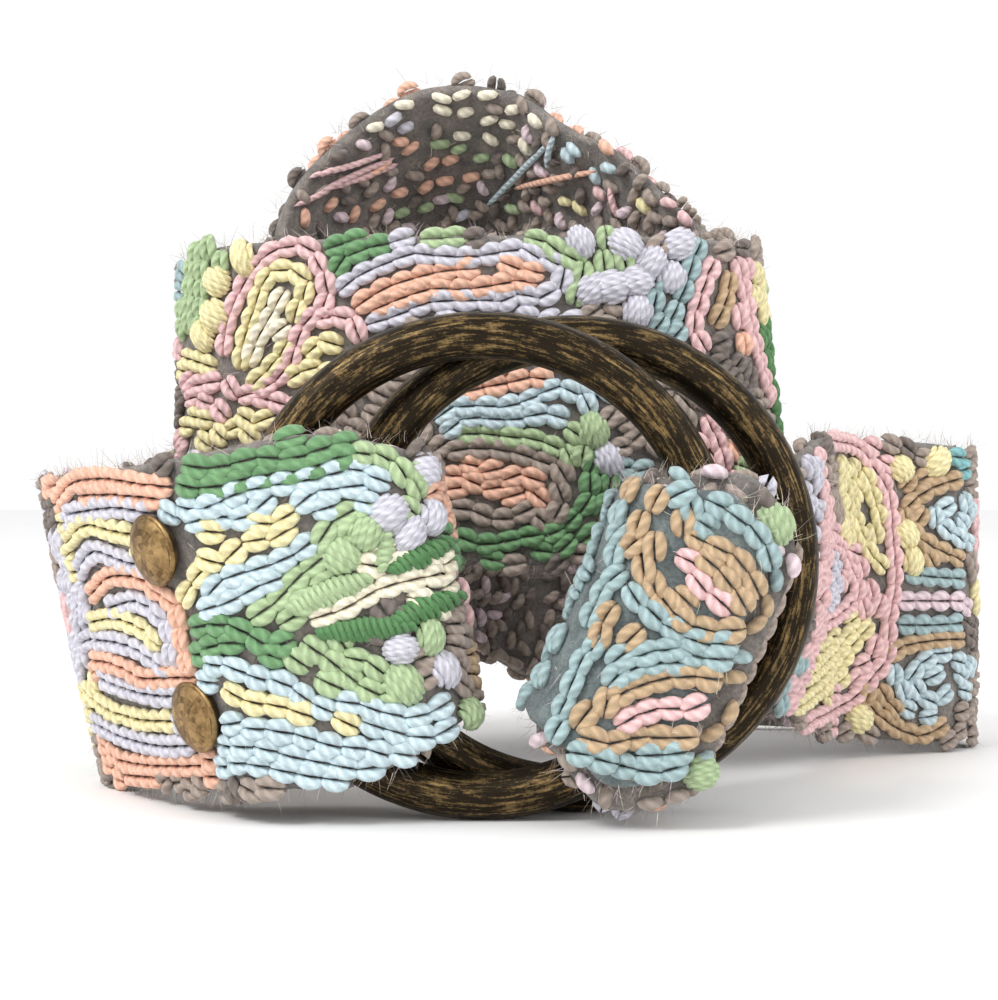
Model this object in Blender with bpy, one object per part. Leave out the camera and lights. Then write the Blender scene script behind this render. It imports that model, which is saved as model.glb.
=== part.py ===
"""Crocheted wool belt with two brass rings, closed and set down on its edge in a two-turn coil.

Metres, +Z up. The two rings are on the -Y side. The strap is one band: its riveted end holds
both rings, it goes round twice and its free end comes through both rings from behind and is
turned back over the front one.
"""

import math

import bmesh
import bpy
import numpy as np
from mathutils import Matrix, Vector
from mathutils.bvhtree import BVHTree

MM = 0.001

# Driving sizes of the strap

BELT_WIDTH = 63.0 * MM
BELT_THICKNESS = 5.0 * MM
EDGE_CURL = 0.6 * MM
END_CORNER = 8.0 * MM
TIP_CORNER = 15.0 * MM
TAB_LENGTH = 28.5 * MM
TAB_TILT = math.radians(24.0)
FACING_WIDTH = 56.0 * MM
FACING_THICKNESS = 2.2 * MM
FACING_LENGTH = 52.0 * MM
FLATTENING = 0.7 * MM

# Driving sizes of the metal

RING_DIAMETER = 84.6 * MM
WIRE_DIAMETER = 8.0 * MM
RING_SPACING = 15.6 * MM
RING_GAP = 1.0 * MM
RING_TURN = math.radians(5.0)
RIVET_HEAD_DIAMETER = 12.0 * MM
RIVET_HEAD_HEIGHT = 2.4 * MM
RIVET_SHANK_DIAMETER = 3.2 * MM
RIVET_SPACING = 28.6 * MM
RIVET_DROP = 1.4 * MM
RIVET_SETBACK = 1.0 * MM

# Driving sizes of the coil

COIL_SPAN = 100.0 * MM
COIL_DEPTH = 130.0 * MM
FOLD_RISE = math.radians(9.5)
CLEARANCE = 0.4 * MM
SECTION_STEP = 5.0 * MM
TURN_STEP = 2.4 * MM
TURN_REACH = 62.0 * MM
END_STEP = 2.2 * MM
END_INSET = 0.4 * MM

# Sizes that follow from them

WIRE_RADIUS = WIRE_DIAMETER / 2
RING_RADIUS = (RING_DIAMETER - WIRE_DIAMETER) / 2
RING_HOLE = RING_RADIUS - WIRE_RADIUS
RING_HEIGHT = RING_DIAMETER / 2
FRONT_RING = Vector((-2.8 * MM, 0.0, RING_HEIGHT))
BACK_RING = FRONT_RING + Vector((RING_SPACING, WIRE_DIAMETER + RING_GAP, 0.0))
WIRE_REACH = WIRE_RADIUS + CLEARANCE + BELT_THICKNESS / 2
LAYER_PITCH = BELT_THICKNESS + 3.5 * CLEARANCE

# Route of the strap's middle line where it follows no ring. Across is a share of COIL_SPAN,
# back of COIL_DEPTH, height and width of BELT_WIDTH. Lean is in degrees, positive where the top
# edge is further out than the bottom one.
# name, across, back, height, lean, width
COIL = (
    ("beside_rivets", -0.628, 0.118, 0.484, 14.0, 0.92),
    ("left_front", -0.710, 0.225, 0.464, 13.0, 0.92),
    ("left_side", -0.775, 0.352, 0.455, 12.0, 0.93),
    ("left_back", -0.770, 0.485, 0.453, 14.0, 0.94),
    ("climb_start", -0.680, 0.640, 0.482, 18.0, 0.93),
    ("climb_low", -0.555, 0.775, 0.590, 16.0, 0.91),
    ("climb_middle", -0.435, 0.875, 0.860, 2.0, 0.91),
    ("climb_high", -0.375, 0.935, 1.290, -14.0, 0.91),
    ("arch_left", -0.295, 0.970, 1.725, -36.0, 0.86),
    ("arch_top", -0.130, 0.990, 1.935, -44.0, 0.85),
    ("arch_right", 0.040, 0.965, 1.890, -38.0, 0.87),
    ("fall_high", 0.160, 0.892, 1.700, -23.0, 0.93),
    ("fall_middle", 0.272, 0.820, 1.465, -16.0, 0.96),
    ("fall_low", 0.380, 0.740, 1.270, -10.0, 0.98),
    ("shoulder_back", 0.475, 0.655, 1.175, -8.0, 0.99),
    ("shoulder", 0.522, 0.550, 1.138, -6.0, 1.00),
    ("shoulder_front", 0.478, 0.455, 1.132, -4.0, 1.00),
    ("upper_right", 0.360, 0.395, 1.133, 0.0, 1.00),
    ("upper_middle", 0.130, 0.362, 1.133, 0.0, 1.00),
    ("upper_left", -0.120, 0.362, 1.133, 0.0, 1.00),
    ("upper_far_left", -0.350, 0.400, 1.130, 0.0, 1.00),
    ("upper_turn", -0.535, 0.465, 1.122, 0.0, 1.00),
    ("upper_side", -0.610, 0.555, 1.100, 0.0, 0.99),
    ("drop_start", -0.568, 0.635, 1.040, 0.0, 0.97),
    ("drop_left", -0.470, 0.688, 0.960, 0.0, 0.96),
    ("drop_middle", -0.350, 0.755, 0.905, 0.0, 0.95),
    ("under_arch", -0.220, 0.825, 0.865, 0.0, 0.95),
    ("under_crossing", -0.080, 0.915, 0.815, 0.0, 0.95),
    ("back_fall", 0.050, 1.010, 0.725, 0.0, 0.95),
    ("back_low", 0.220, 1.065, 0.590, 0.0, 0.96),
    ("back_floor", 0.420, 1.070, 0.510, 0.0, 0.98),
    ("right_back", 0.640, 1.060, 0.500, 0.0, 1.00),
    ("right_turn", 0.860, 0.990, 0.500, 0.0, 1.00),
    ("right_side", 0.990, 0.860, 0.505, 0.0, 1.00),
    ("right_front", 0.955, 0.755, 0.518, 0.0, 1.00),
    ("right_face", 0.820, 0.700, 0.536, 0.0, 1.00),
    ("right_near", 0.700, 0.645, 0.550, 1.0, 0.98),
    ("right_end", 0.640, 0.560, 0.575, 3.0, 0.94),
    ("behind_rings", 0.585, 0.450, 0.575, 5.0, 0.88),
)


def half_chord(offset):
    """Half the height of a ring's hole, this far to one side of its middle."""
    return math.sqrt(max(RING_HOLE**2 - offset**2, (RING_HOLE / 4) ** 2))


def coil_stations():
    """The COIL table in metres, as (place, lean in radians, width)."""
    return [
        (
            Vector((across * COIL_SPAN, back * COIL_DEPTH, height * BELT_WIDTH)),
            math.radians(lean),
            width * BELT_WIDTH,
        )
        for _, across, back, height, lean, width in COIL
    ]


def fold_stations(after):
    """The riveted fold, from the turned end's edge round both rings' left wires to the front.

    after is the coil's first station, which the front layer runs on to.
    """
    front_wire = FRONT_RING.x - RING_RADIUS
    back_wire = BACK_RING.x - RING_RADIUS * math.cos(RING_TURN)
    back_wire_depth = BACK_RING.y - RING_RADIUS * math.sin(RING_TURN)
    bend = FRONT_RING.x - 5.7 * MM
    bend_depth = 0.6 * back_wire_depth
    neck = 2 * (half_chord(BACK_RING.x - bend) - 1.25 * WIRE_RADIUS)
    low = after[0].z + 1.0 * MM
    slope = math.tan(FOLD_RISE)

    def height(x):
        return low + max(0.0, x - front_wire + 12 * MM) * slope

    def station(x, y, lean, width):
        return Vector((x, y, height(x))), math.radians(lean), width

    panel = 0.92 * BELT_WIDTH
    front = [
        station(bend, bend_depth, -10.0, neck),
        station(bend - 4.0 * MM, -4.4 * MM, -6.0, 0.6 * neck + 0.4 * panel),
        station(back_wire, -WIRE_REACH - 0.5 * MM, 0.0, panel),
        station(front_wire, -WIRE_REACH - 0.1 * MM, 3.0, panel),
        station(front_wire - 4.2 * MM, -5.9 * MM, 8.0, panel),
        station(front_wire - 9.4 * MM, -0.6 * MM, 13.0, panel),
    ]
    inward = inward_offsets(front[-2:] + [after], LAYER_PITCH + 0.4 * MM)
    back = [
        (inward[2], -after[1], 0.90 * panel),
        station(front_wire - 9.8 * MM, 11.2 * MM, -13.5, 0.90 * panel),
        station(front_wire - 5.0 * MM, 8.6 * MM, -10.5, 0.91 * panel),
        station(front_wire + 0.4 * MM, WIRE_REACH + 2.6 * MM, -6.0, 0.92 * panel),
        station(front_wire + 7.0 * MM, WIRE_REACH + 4.6 * MM, -3.0, 0.93 * panel),
        station(back_wire, back_wire_depth + WIRE_REACH + 1.5 * MM, 0.0, 0.95 * panel),
        station(bend - 4.5 * MM, back_wire_depth + WIRE_REACH - 0.8 * MM, -6.0, neck),
    ]
    return back, front


def inward_offsets(stations, distance):
    """Places that lie this far inside the coil from the stations, square to the route."""
    places = [place for place, _, _ in stations]
    found = []
    for i, place in enumerate(places):
        ahead = places[min(i + 1, len(places) - 1)] - places[max(i - 1, 0)]
        outward = Vector((0, 0, 1)).cross(ahead.normalized()).normalized()
        found.append(place - outward * distance)
    return found


def tab_stations():
    """The free end: from behind the rings, through both, round the front ring and to its tip."""
    bend = Vector((FRONT_RING.x + 20.3 * MM, -5.2 * MM, RING_HEIGHT - 7.0 * MM))
    neck = 2 * (half_chord(bend.x - FRONT_RING.x) - 2.05 * WIRE_RADIUS)
    front = -WIRE_REACH - 2.8 * MM
    drop = math.tan(TAB_TILT)
    tip = bend.x + TAB_LENGTH * math.cos(TAB_TILT) - BELT_THICKNESS / 2

    def behind(x, y, height, lean, width):
        return bend + Vector((x, y - bend.y, height)), math.radians(lean), width

    def over(x, y, lean, width):
        return Vector((x, y, bend.z - (x - bend.x) * drop)), math.radians(lean), width

    broad = 0.95 * BELT_WIDTH
    laid = bend.x + 10 * MM
    return [
        behind(32.0 * MM, 43 * MM, -2.2 * MM, 9, 1.06 * neck),
        behind(19.0 * MM, 27 * MM, -2.2 * MM, 12, 1.03 * neck),
        behind(7.5 * MM, 12 * MM, -0.6 * MM, 17, neck),
        behind(1.6 * MM, 1 * MM, 0.2 * MM, 18, 1.01 * neck),
        (bend, TAB_TILT, 0.55 * neck + 0.45 * broad),
        over(bend.x + 3.6 * MM, -9.0 * MM, 10, 0.35 * neck + 0.65 * broad),
        over(laid, front, 1, broad),
        over((laid + tip) / 2, front - 0.3 * MM, 0, broad),
        over(tip, front, 0, broad),
    ]


def route_stations():
    """Every station of the strap in order, and the index of the one that carries the rivets."""
    coil = coil_stations()
    back, front = fold_stations(coil[0])
    stations = back + front + coil + tab_stations()
    return stations, len(back) + len(front) - 1


def smooth_route(stations, steps=24):
    """A centripetal Catmull-Rom curve through the stations: rows of x, y, z, lean and width."""
    rows = np.array([[*place, lean, width] for place, lean, width in stations])
    rows = np.vstack([2 * rows[0] - rows[1], rows, 2 * rows[-1] - rows[-2]])
    found = []
    for p0, p1, p2, p3 in zip(rows, rows[1:], rows[2:], rows[3:]):
        knots = [0.0]
        for a, b in ((p0, p1), (p1, p2), (p2, p3)):
            knots.append(knots[-1] + math.sqrt(np.linalg.norm((b - a)[:3])))
        t0, t1, t2, t3 = knots
        for t in np.linspace(t1, t2, steps, endpoint=False):
            a1 = p0 + (p1 - p0) * (t - t0) / (t1 - t0)
            a2 = p1 + (p2 - p1) * (t - t1) / (t2 - t1)
            a3 = p2 + (p3 - p2) * (t - t2) / (t3 - t2)
            b1 = a1 + (a2 - a1) * (t - t0) / (t2 - t0)
            b2 = a2 + (a3 - a2) * (t - t1) / (t3 - t1)
            found.append(b1 + (b2 - b1) * (t - t1) / (t2 - t1))
    found.append(rows[-2])
    return np.array(found)


class Route:
    """The strap's middle line, read by distance from the turned end's edge."""

    def __init__(self):
        stations, self.rivet_station = route_stations()
        self.rows = smooth_route(stations)
        steps = np.linalg.norm(np.diff(self.rows[:, :3], axis=0), axis=1)
        self.distance = np.concatenate([[0.0], np.cumsum(steps)])
        self.length = float(self.distance[-1])
        self.rivet_distance = float(self.distance[self.rivet_station * 24]) + RIVET_SETBACK

    def at(self, distance):
        """Place, outward direction, upward direction, travel direction and width."""
        row = [np.interp(distance, self.distance, column) for column in self.rows.T]
        near = 1.5 * MM
        ends = [
            [np.interp(distance + side * near, self.distance, column) for column in self.rows.T[:3]]
            for side in (-1, 1)
        ]
        along = Vector(np.subtract(ends[1], ends[0])).normalized()
        up = (Vector((0, 0, 1)) - along * along.z).normalized()
        out = up.cross(along)
        lean = row[3]
        leaned_up = up * math.cos(lean) + out * math.sin(lean)
        return Vector(row[:3]), leaned_up.cross(along), leaned_up, along, row[4]


def corner_cut(distance, radius):
    """How much narrower each side is at this distance from a rounded end."""
    if distance >= radius:
        return 0.0
    return radius - math.sqrt(max(radius**2 - (radius - distance) ** 2, 0.0))


def section_distances(start, end):
    """Distances of the sections, closer together at both ends and where the ends turn back."""
    fine = TIP_CORNER
    count = int(round(fine / END_STEP))
    head = (fine * (np.arange(count) / count) ** 1.5).tolist()
    turn = min(TURN_REACH, (end - start) / 2 - 1.5 * fine)
    near = np.arange(fine, turn, TURN_STEP).tolist()
    length = end - start
    far = length - 2 * max(turn, fine)
    middle = (max(turn, fine) + np.linspace(0, far, int(far / SECTION_STEP) + 2)).tolist()
    tail = [length - distance for distance in reversed(head + near)]
    return start + np.array(head + near + middle + tail)


def strap_distances(route):
    """Distances of the strap's own sections, which the facing on it shares."""
    return section_distances(END_INSET, route.length - END_INSET)


def strip_outline(width, thickness, curl):
    """A rounded strip seen end on: (across, out) points, curled in a little at both edges."""
    half = width / 2
    edge = thickness / 2
    shares = (-0.94, -0.56, 0.0, 0.56, 0.94)
    outer = [(share * (half - edge), edge) for share in shares]
    inner = [(across, -out) for across, out in reversed(outer)]
    right = [(half - 0.35 * edge, 0.72 * edge), (half, 0.0), (half - 0.35 * edge, -0.72 * edge)]
    left = [(-across, out) for across, out in reversed(right)]
    points = outer + right + inner + left
    return [(across, out - curl * (across / half) ** 2) for across, out in points]


def loft_strip(name, route, distances, thickness, offset, width_at, curl):
    """A closed strip along the route, its middle surface this far outwards from the route."""
    mesh = bpy.data.meshes.new(name)
    shape = bmesh.new()
    rings = []
    for distance in distances:
        place, out, up, _, width = route.at(distance)
        outline = strip_outline(width_at(distance, width), thickness, curl)
        middle = place + out * offset
        rings.append([shape.verts.new(middle + up * a + out * o) for a, o in outline])
    for ring, following in zip(rings, rings[1:]):
        count = len(ring)
        for i in range(count):
            j = (i + 1) % count
            shape.faces.new((ring[i], ring[j], following[j], following[i]))
    shape.faces.new(rings[0][::-1])
    shape.faces.new(rings[-1])
    bmesh.ops.recalc_face_normals(shape, faces=shape.faces)
    shape.to_mesh(mesh)
    shape.free()
    made = bpy.data.objects.new(name, mesh)
    bpy.context.collection.objects.link(made)
    return made


def new_material(name, colour, roughness, metallic=0.0):
    made = bpy.data.materials.new(name)
    made.use_nodes = True
    surface = made.node_tree.nodes["Principled BSDF"]
    surface.inputs["Base Color"].default_value = (*colour, 1.0)
    surface.inputs["Roughness"].default_value = roughness
    surface.inputs["Metallic"].default_value = metallic
    return made


def add_helper(name, mesh_maker):
    """A cutter: hidden from the render and drawn as a wire."""
    shape = bmesh.new()
    mesh_maker(shape)
    mesh = bpy.data.meshes.new(name)
    shape.to_mesh(mesh)
    shape.free()
    made = bpy.data.objects.new(name, mesh)
    bpy.context.collection.objects.link(made)
    made.hide_render = True
    made.display_type = "WIRE"
    return made


def cut(target, cutter):
    modifier = target.modifiers.new("cut_" + cutter.name, "BOOLEAN")
    modifier.operation = "DIFFERENCE"
    modifier.solver = "EXACT"
    modifier.object = cutter


def make_strap(route, material):
    """The whole crocheted band, flattened where it stands and pierced for the rivets."""

    def width_at(distance, width):
        from_start = corner_cut(distance, END_CORNER)
        from_end = corner_cut(route.length - distance, TIP_CORNER)
        return width - 2 * max(from_start, from_end)

    distances = strap_distances(route)
    strap = loft_strip("strap", route, distances, BELT_THICKNESS, 0.0, width_at, EDGE_CURL)
    strap.data.materials.append(material)
    return strap


def make_end_facing(route, material):
    """The second layer on the free end, on the side that the turn brings to the front."""
    tip_margin = (BELT_WIDTH - FACING_WIDTH) / 2
    end = route.length - tip_margin

    def width_at(distance, width):
        narrowed = width * FACING_WIDTH / BELT_WIDTH
        return narrowed - 2 * corner_cut(end + 0.3 * MM - distance, TIP_CORNER)

    start = route.length - FACING_LENGTH
    distances = [d for d in strap_distances(route) if start <= d < end - TIP_CORNER]
    distances += [d for d in section_distances(start, end) if d >= end - TIP_CORNER]
    offset = -(BELT_THICKNESS / 2 + FACING_THICKNESS / 2 + 1.6 * CLEARANCE)
    facing = loft_strip(
        "end_facing", route, distances, FACING_THICKNESS, offset, width_at, EDGE_CURL * 0.8
    )
    facing.data.materials.append(material)
    return facing


def make_ring(name, middle, turn, material):
    bpy.ops.mesh.primitive_torus_add(
        major_radius=RING_RADIUS,
        minor_radius=WIRE_RADIUS,
        major_segments=60,
        minor_segments=12,
    )
    ring = bpy.context.object
    ring.name = name
    ring.data.materials.append(material)
    ring.location = middle
    ring.rotation_euler = (math.pi / 2, 0.0, turn)
    return ring


def rivet_frame(route, side):
    """The matrix of one rivet: its Z runs outwards, its origin is on the strap's middle line."""
    place, out, up, along, _ = route.at(route.rivet_distance)
    across = side * RIVET_SPACING / 2 - RIVET_DROP
    middle = place + up * across - out * EDGE_CURL * (2 * across / BELT_WIDTH) ** 2
    axes = Matrix((along, up.cross(-along).cross(along), out)).transposed()
    axes.col[1] = out.cross(along)
    return Matrix.Translation(middle) @ axes.to_4x4()


def shank_end(strap, frame):
    """Where the shank stops on the rivet's own Z: level with the turned end's inner face."""
    polygons = [tuple(polygon.vertices) for polygon in strap.data.polygons]
    tree = BVHTree.FromPolygons([vertex.co for vertex in strap.data.vertices], polygons)
    inward = -frame.col[2].to_3d()
    travelled = 0.0
    faces_of_both_layers = 3
    for _ in range(faces_of_both_layers):
        hit = tree.ray_cast(frame.translation + inward * travelled, inward, 4 * LAYER_PITCH)
        if hit[0] is None:
            break
        travelled += hit[3] + 0.01 * MM
    return -min(max(travelled, BELT_THICKNESS), 2 * LAYER_PITCH)


def dome_profile(radius, height, base, points=5):
    """A shallow dome's (radius, level) points from its rim to its crown."""
    found = []
    for i in range(points + 1):
        turn = math.pi / 2 * i / points
        found.append((radius * math.cos(turn), base + height * math.sin(turn)))
    return found


def make_rivet(name, frame, end, material):
    """Domed head outside and a shank through both layers."""
    head_base = BELT_THICKNESS / 2 + 2 * CLEARANCE
    shank = RIVET_SHANK_DIAMETER / 2
    head = dome_profile(RIVET_HEAD_DIAMETER / 2, RIVET_HEAD_HEIGHT, head_base)
    profile = head[::-1] + [(shank, head_base), (shank, end), (0.0, end)]
    shape = bmesh.new()
    verts = [shape.verts.new((radius, 0.0, level)) for radius, level in profile]
    edges = [shape.edges.new(pair) for pair in zip(verts, verts[1:])]
    bmesh.ops.spin(
        shape,
        geom=verts + edges,
        cent=(0, 0, 0),
        axis=(0, 0, 1),
        angle=2 * math.pi,
        steps=20,
        use_merge=True,
    )
    bmesh.ops.remove_doubles(shape, verts=shape.verts, dist=0.01 * MM)
    bmesh.ops.recalc_face_normals(shape, faces=shape.faces)
    mesh = bpy.data.meshes.new(name)
    shape.to_mesh(mesh)
    shape.free()
    rivet = bpy.data.objects.new(name, mesh)
    bpy.context.collection.objects.link(rivet)
    rivet.data.materials.append(material)
    rivet.matrix_world = frame
    return rivet


def pierce(strap, frame, name):
    """Cuts the hole that a rivet's shank runs through."""

    def cylinder(shape):
        bmesh.ops.create_cone(
            shape,
            cap_ends=True,
            segments=20,
            radius1=RIVET_SHANK_DIAMETER / 2 + CLEARANCE,
            radius2=RIVET_SHANK_DIAMETER / 2 + CLEARANCE,
            depth=4 * LAYER_PITCH,
        )

    cutter = add_helper(name, cylinder)
    cutter.matrix_world = frame @ Matrix.Translation((0, 0, -LAYER_PITCH / 2))
    cut(strap, cutter)


def flatten_foot(strap):
    """Cuts the lowest sliver off the strap, where its own weight presses it flat."""
    lowest = min(vertex.co.z for vertex in strap.data.vertices)
    block = 4 * COIL_SPAN

    def floor(shape):
        bmesh.ops.create_cube(shape, size=block)

    cutter = add_helper("floor_cutter", floor)
    cutter.location = (0.0, COIL_DEPTH / 2, lowest + FLATTENING - block / 2)
    cut(strap, cutter)
    return lowest + FLATTENING


def set_down(objects, foot):
    """Puts the middle of the whole belt's footprint on the origin, standing on Z = 0."""
    bpy.context.view_layer.update()
    solids = [obj for obj in objects if not obj.hide_render]
    corners = np.array(
        [obj.matrix_world @ vertex.co for obj in solids for vertex in obj.data.vertices]
    )
    low = corners.min(axis=0)
    high = corners.max(axis=0)
    stand = bpy.data.objects.new("belt", None)
    bpy.context.collection.objects.link(stand)
    for obj in objects:
        obj.parent = stand
    stand.location = (-(low[0] + high[0]) / 2, -(low[1] + high[1]) / 2, -foot)


def main():
    clear_scene()
    wool = new_material("wool", (0.42, 0.36, 0.33), 0.95)
    slate = new_material("slate_yarn", (0.45, 0.55, 0.56), 0.9)
    brass = new_material("aged_brass", (0.16, 0.12, 0.06), 0.45, 1.0)
    route = Route()
    strap = make_strap(route, wool)
    make_end_facing(route, slate)
    foot = flatten_foot(strap)
    lift = Vector((0.0, 0.0, foot))
    make_ring("ring_front", FRONT_RING + lift, 0.0, brass)
    make_ring("ring_back", BACK_RING + lift, RING_TURN, brass)
    for name, side in (("rivet_upper", 1), ("rivet_lower", -1)):
        frame = rivet_frame(route, side)
        make_rivet(name, frame, shank_end(strap, frame), brass)
        pierce(strap, frame, name + "_hole")
    set_down(list(bpy.context.scene.objects), foot)


def clear_scene():
    for item in list(bpy.data.objects):
        bpy.data.objects.remove(item, do_unlink=True)


main()
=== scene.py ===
"""A crocheted wool belt with two brass rings, dressed over its CAD frame.

Every piece is built in metres in the frame of the CAD model. The strap's route repeats the one of
the part's source. The motifs that the photograph shows are laid where its pixels fall on the strap.
"""

import math
import random

import bpy
import numpy as np
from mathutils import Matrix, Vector
from mathutils.bvhtree import BVHTree


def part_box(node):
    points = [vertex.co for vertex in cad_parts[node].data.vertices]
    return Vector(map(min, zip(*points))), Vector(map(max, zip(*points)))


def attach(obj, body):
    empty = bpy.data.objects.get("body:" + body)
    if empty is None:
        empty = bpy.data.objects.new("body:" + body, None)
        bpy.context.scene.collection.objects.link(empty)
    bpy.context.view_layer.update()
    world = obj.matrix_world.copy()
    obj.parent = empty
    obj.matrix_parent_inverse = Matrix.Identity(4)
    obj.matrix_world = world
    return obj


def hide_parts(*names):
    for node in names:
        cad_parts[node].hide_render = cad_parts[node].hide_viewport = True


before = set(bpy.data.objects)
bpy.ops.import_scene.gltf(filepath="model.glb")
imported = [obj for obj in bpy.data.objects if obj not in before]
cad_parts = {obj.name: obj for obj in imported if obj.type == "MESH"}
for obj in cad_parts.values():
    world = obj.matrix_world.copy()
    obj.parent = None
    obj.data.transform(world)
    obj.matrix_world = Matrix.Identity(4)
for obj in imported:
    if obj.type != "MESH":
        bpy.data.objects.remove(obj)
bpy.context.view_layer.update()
random.seed(7)
RNG = np.random.default_rng(7)
MM = 0.001

# Sizes that the part's source gives

BELT_WIDTH = 63.0 * MM
BELT_THICKNESS = 5.0 * MM
EDGE_CURL = 0.6 * MM
END_CORNER = 8.0 * MM
TIP_CORNER = 15.0 * MM
TAB_LENGTH = 28.5 * MM
TAB_TILT = math.radians(24.0)
FACING_WIDTH = 56.0 * MM
FACING_THICKNESS = 2.2 * MM
FACING_LENGTH = 52.0 * MM
RING_DIAMETER = 84.6 * MM
WIRE_DIAMETER = 8.0 * MM
RING_SPACING = 15.6 * MM
RING_GAP = 1.0 * MM
RING_TURN = math.radians(5.0)
RIVET_HEAD_DIAMETER = 12.0 * MM
RIVET_HEAD_HEIGHT = 2.4 * MM
RIVET_SPACING = 28.6 * MM
RIVET_SETBACK = 1.0 * MM
COIL_SPAN = 100.0 * MM
COIL_DEPTH = 130.0 * MM
FOLD_RISE = math.radians(9.5)
CLEARANCE = 0.4 * MM

WIRE_RADIUS = WIRE_DIAMETER / 2
RING_RADIUS = (RING_DIAMETER - WIRE_DIAMETER) / 2
RING_HOLE = RING_RADIUS - WIRE_RADIUS
RING_HEIGHT = RING_DIAMETER / 2
FRONT_RING = Vector((-2.8 * MM, 0.0, RING_HEIGHT))
BACK_RING = FRONT_RING + Vector((RING_SPACING, WIRE_DIAMETER + RING_GAP, 0.0))
WIRE_REACH = WIRE_RADIUS + CLEARANCE + BELT_THICKNESS / 2
LAYER_PITCH = BELT_THICKNESS + 3.5 * CLEARANCE

# The route is written round the front ring, and the frame has its own origin

LOW, HIGH = (Vector(corner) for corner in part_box("ring_front"))
SHIFT = (LOW + HIGH) / 2 - FRONT_RING

# Camera: the photograph's size and its reading, in pixels, and its place from the front ring

PHOTO_WIDTH = 998
PHOTO_HEIGHT = 1000
FOCAL_PIXELS = 2284.0
MIDDLE_COLUMN = 499.0
HORIZON_ROW = 480.0
CAMERA_PLACE = Vector((0.0, -380.0 * MM, 56.5 * MM)) + SHIFT
SENSOR = 36.0

# Route of the strap's middle line where it follows no ring
# name, across, back, height, lean, width

COIL = (
    ("beside_rivets", -0.628, 0.118, 0.484, 14.0, 0.92),
    ("left_front", -0.710, 0.225, 0.464, 13.0, 0.92),
    ("left_side", -0.775, 0.352, 0.455, 12.0, 0.93),
    ("left_back", -0.770, 0.485, 0.453, 14.0, 0.94),
    ("climb_start", -0.680, 0.640, 0.482, 18.0, 0.93),
    ("climb_low", -0.555, 0.775, 0.590, 16.0, 0.91),
    ("climb_middle", -0.435, 0.875, 0.860, 2.0, 0.91),
    ("climb_high", -0.375, 0.935, 1.290, -14.0, 0.91),
    ("arch_left", -0.295, 0.970, 1.725, -36.0, 0.86),
    ("arch_top", -0.130, 0.990, 1.935, -44.0, 0.85),
    ("arch_right", 0.040, 0.965, 1.890, -38.0, 0.87),
    ("fall_high", 0.160, 0.892, 1.700, -23.0, 0.93),
    ("fall_middle", 0.272, 0.820, 1.465, -16.0, 0.96),
    ("fall_low", 0.380, 0.740, 1.270, -10.0, 0.98),
    ("shoulder_back", 0.475, 0.655, 1.175, -8.0, 0.99),
    ("shoulder", 0.522, 0.550, 1.138, -6.0, 1.00),
    ("shoulder_front", 0.478, 0.455, 1.132, -4.0, 1.00),
    ("upper_right", 0.360, 0.395, 1.133, 0.0, 1.00),
    ("upper_middle", 0.130, 0.362, 1.133, 0.0, 1.00),
    ("upper_left", -0.120, 0.362, 1.133, 0.0, 1.00),
    ("upper_far_left", -0.350, 0.400, 1.130, 0.0, 1.00),
    ("upper_turn", -0.535, 0.465, 1.122, 0.0, 1.00),
    ("upper_side", -0.610, 0.555, 1.100, 0.0, 0.99),
    ("drop_start", -0.568, 0.635, 1.040, 0.0, 0.97),
    ("drop_left", -0.470, 0.688, 0.960, 0.0, 0.96),
    ("drop_middle", -0.350, 0.755, 0.905, 0.0, 0.95),
    ("under_arch", -0.220, 0.825, 0.865, 0.0, 0.95),
    ("under_crossing", -0.080, 0.915, 0.815, 0.0, 0.95),
    ("back_fall", 0.050, 1.010, 0.725, 0.0, 0.95),
    ("back_low", 0.220, 1.065, 0.590, 0.0, 0.96),
    ("back_floor", 0.420, 1.070, 0.510, 0.0, 0.98),
    ("right_back", 0.640, 1.060, 0.500, 0.0, 1.00),
    ("right_turn", 0.860, 0.990, 0.500, 0.0, 1.00),
    ("right_side", 0.990, 0.860, 0.505, 0.0, 1.00),
    ("right_front", 0.955, 0.755, 0.518, 0.0, 1.00),
    ("right_face", 0.820, 0.700, 0.536, 0.0, 1.00),
    ("right_near", 0.700, 0.645, 0.550, 1.0, 0.98),
    ("right_end", 0.640, 0.560, 0.575, 3.0, 0.94),
    ("behind_rings", 0.585, 0.450, 0.575, 5.0, 0.88),
)

# Yarns: the colour as seen in the photograph, in sRGB from 0 to 255

YARNS = {
    "salmon": (232, 184, 160),
    "lavender": (204, 202, 212),
    "yellow": (232, 221, 172),
    "pink": (228, 190, 190),
    "green": (112, 152, 108),
    "pale_green": (170, 190, 148),
    "leaf_green": (88, 132, 84),
    "pale_blue": (194, 212, 218),
    "slate": (158, 180, 182),
    "tan": (188, 162, 130),
    "lilac": (222, 202, 208),
    "cream": (238, 230, 208),
    "wool": (160, 146, 136),
    "dark_wool": (118, 108, 102),
    "turquoise": (130, 182, 184),
}
YARN_NAMES = tuple(YARNS)

# Rows of chain stitches that the photograph shows, each a yarn and the pixels it passes

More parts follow.
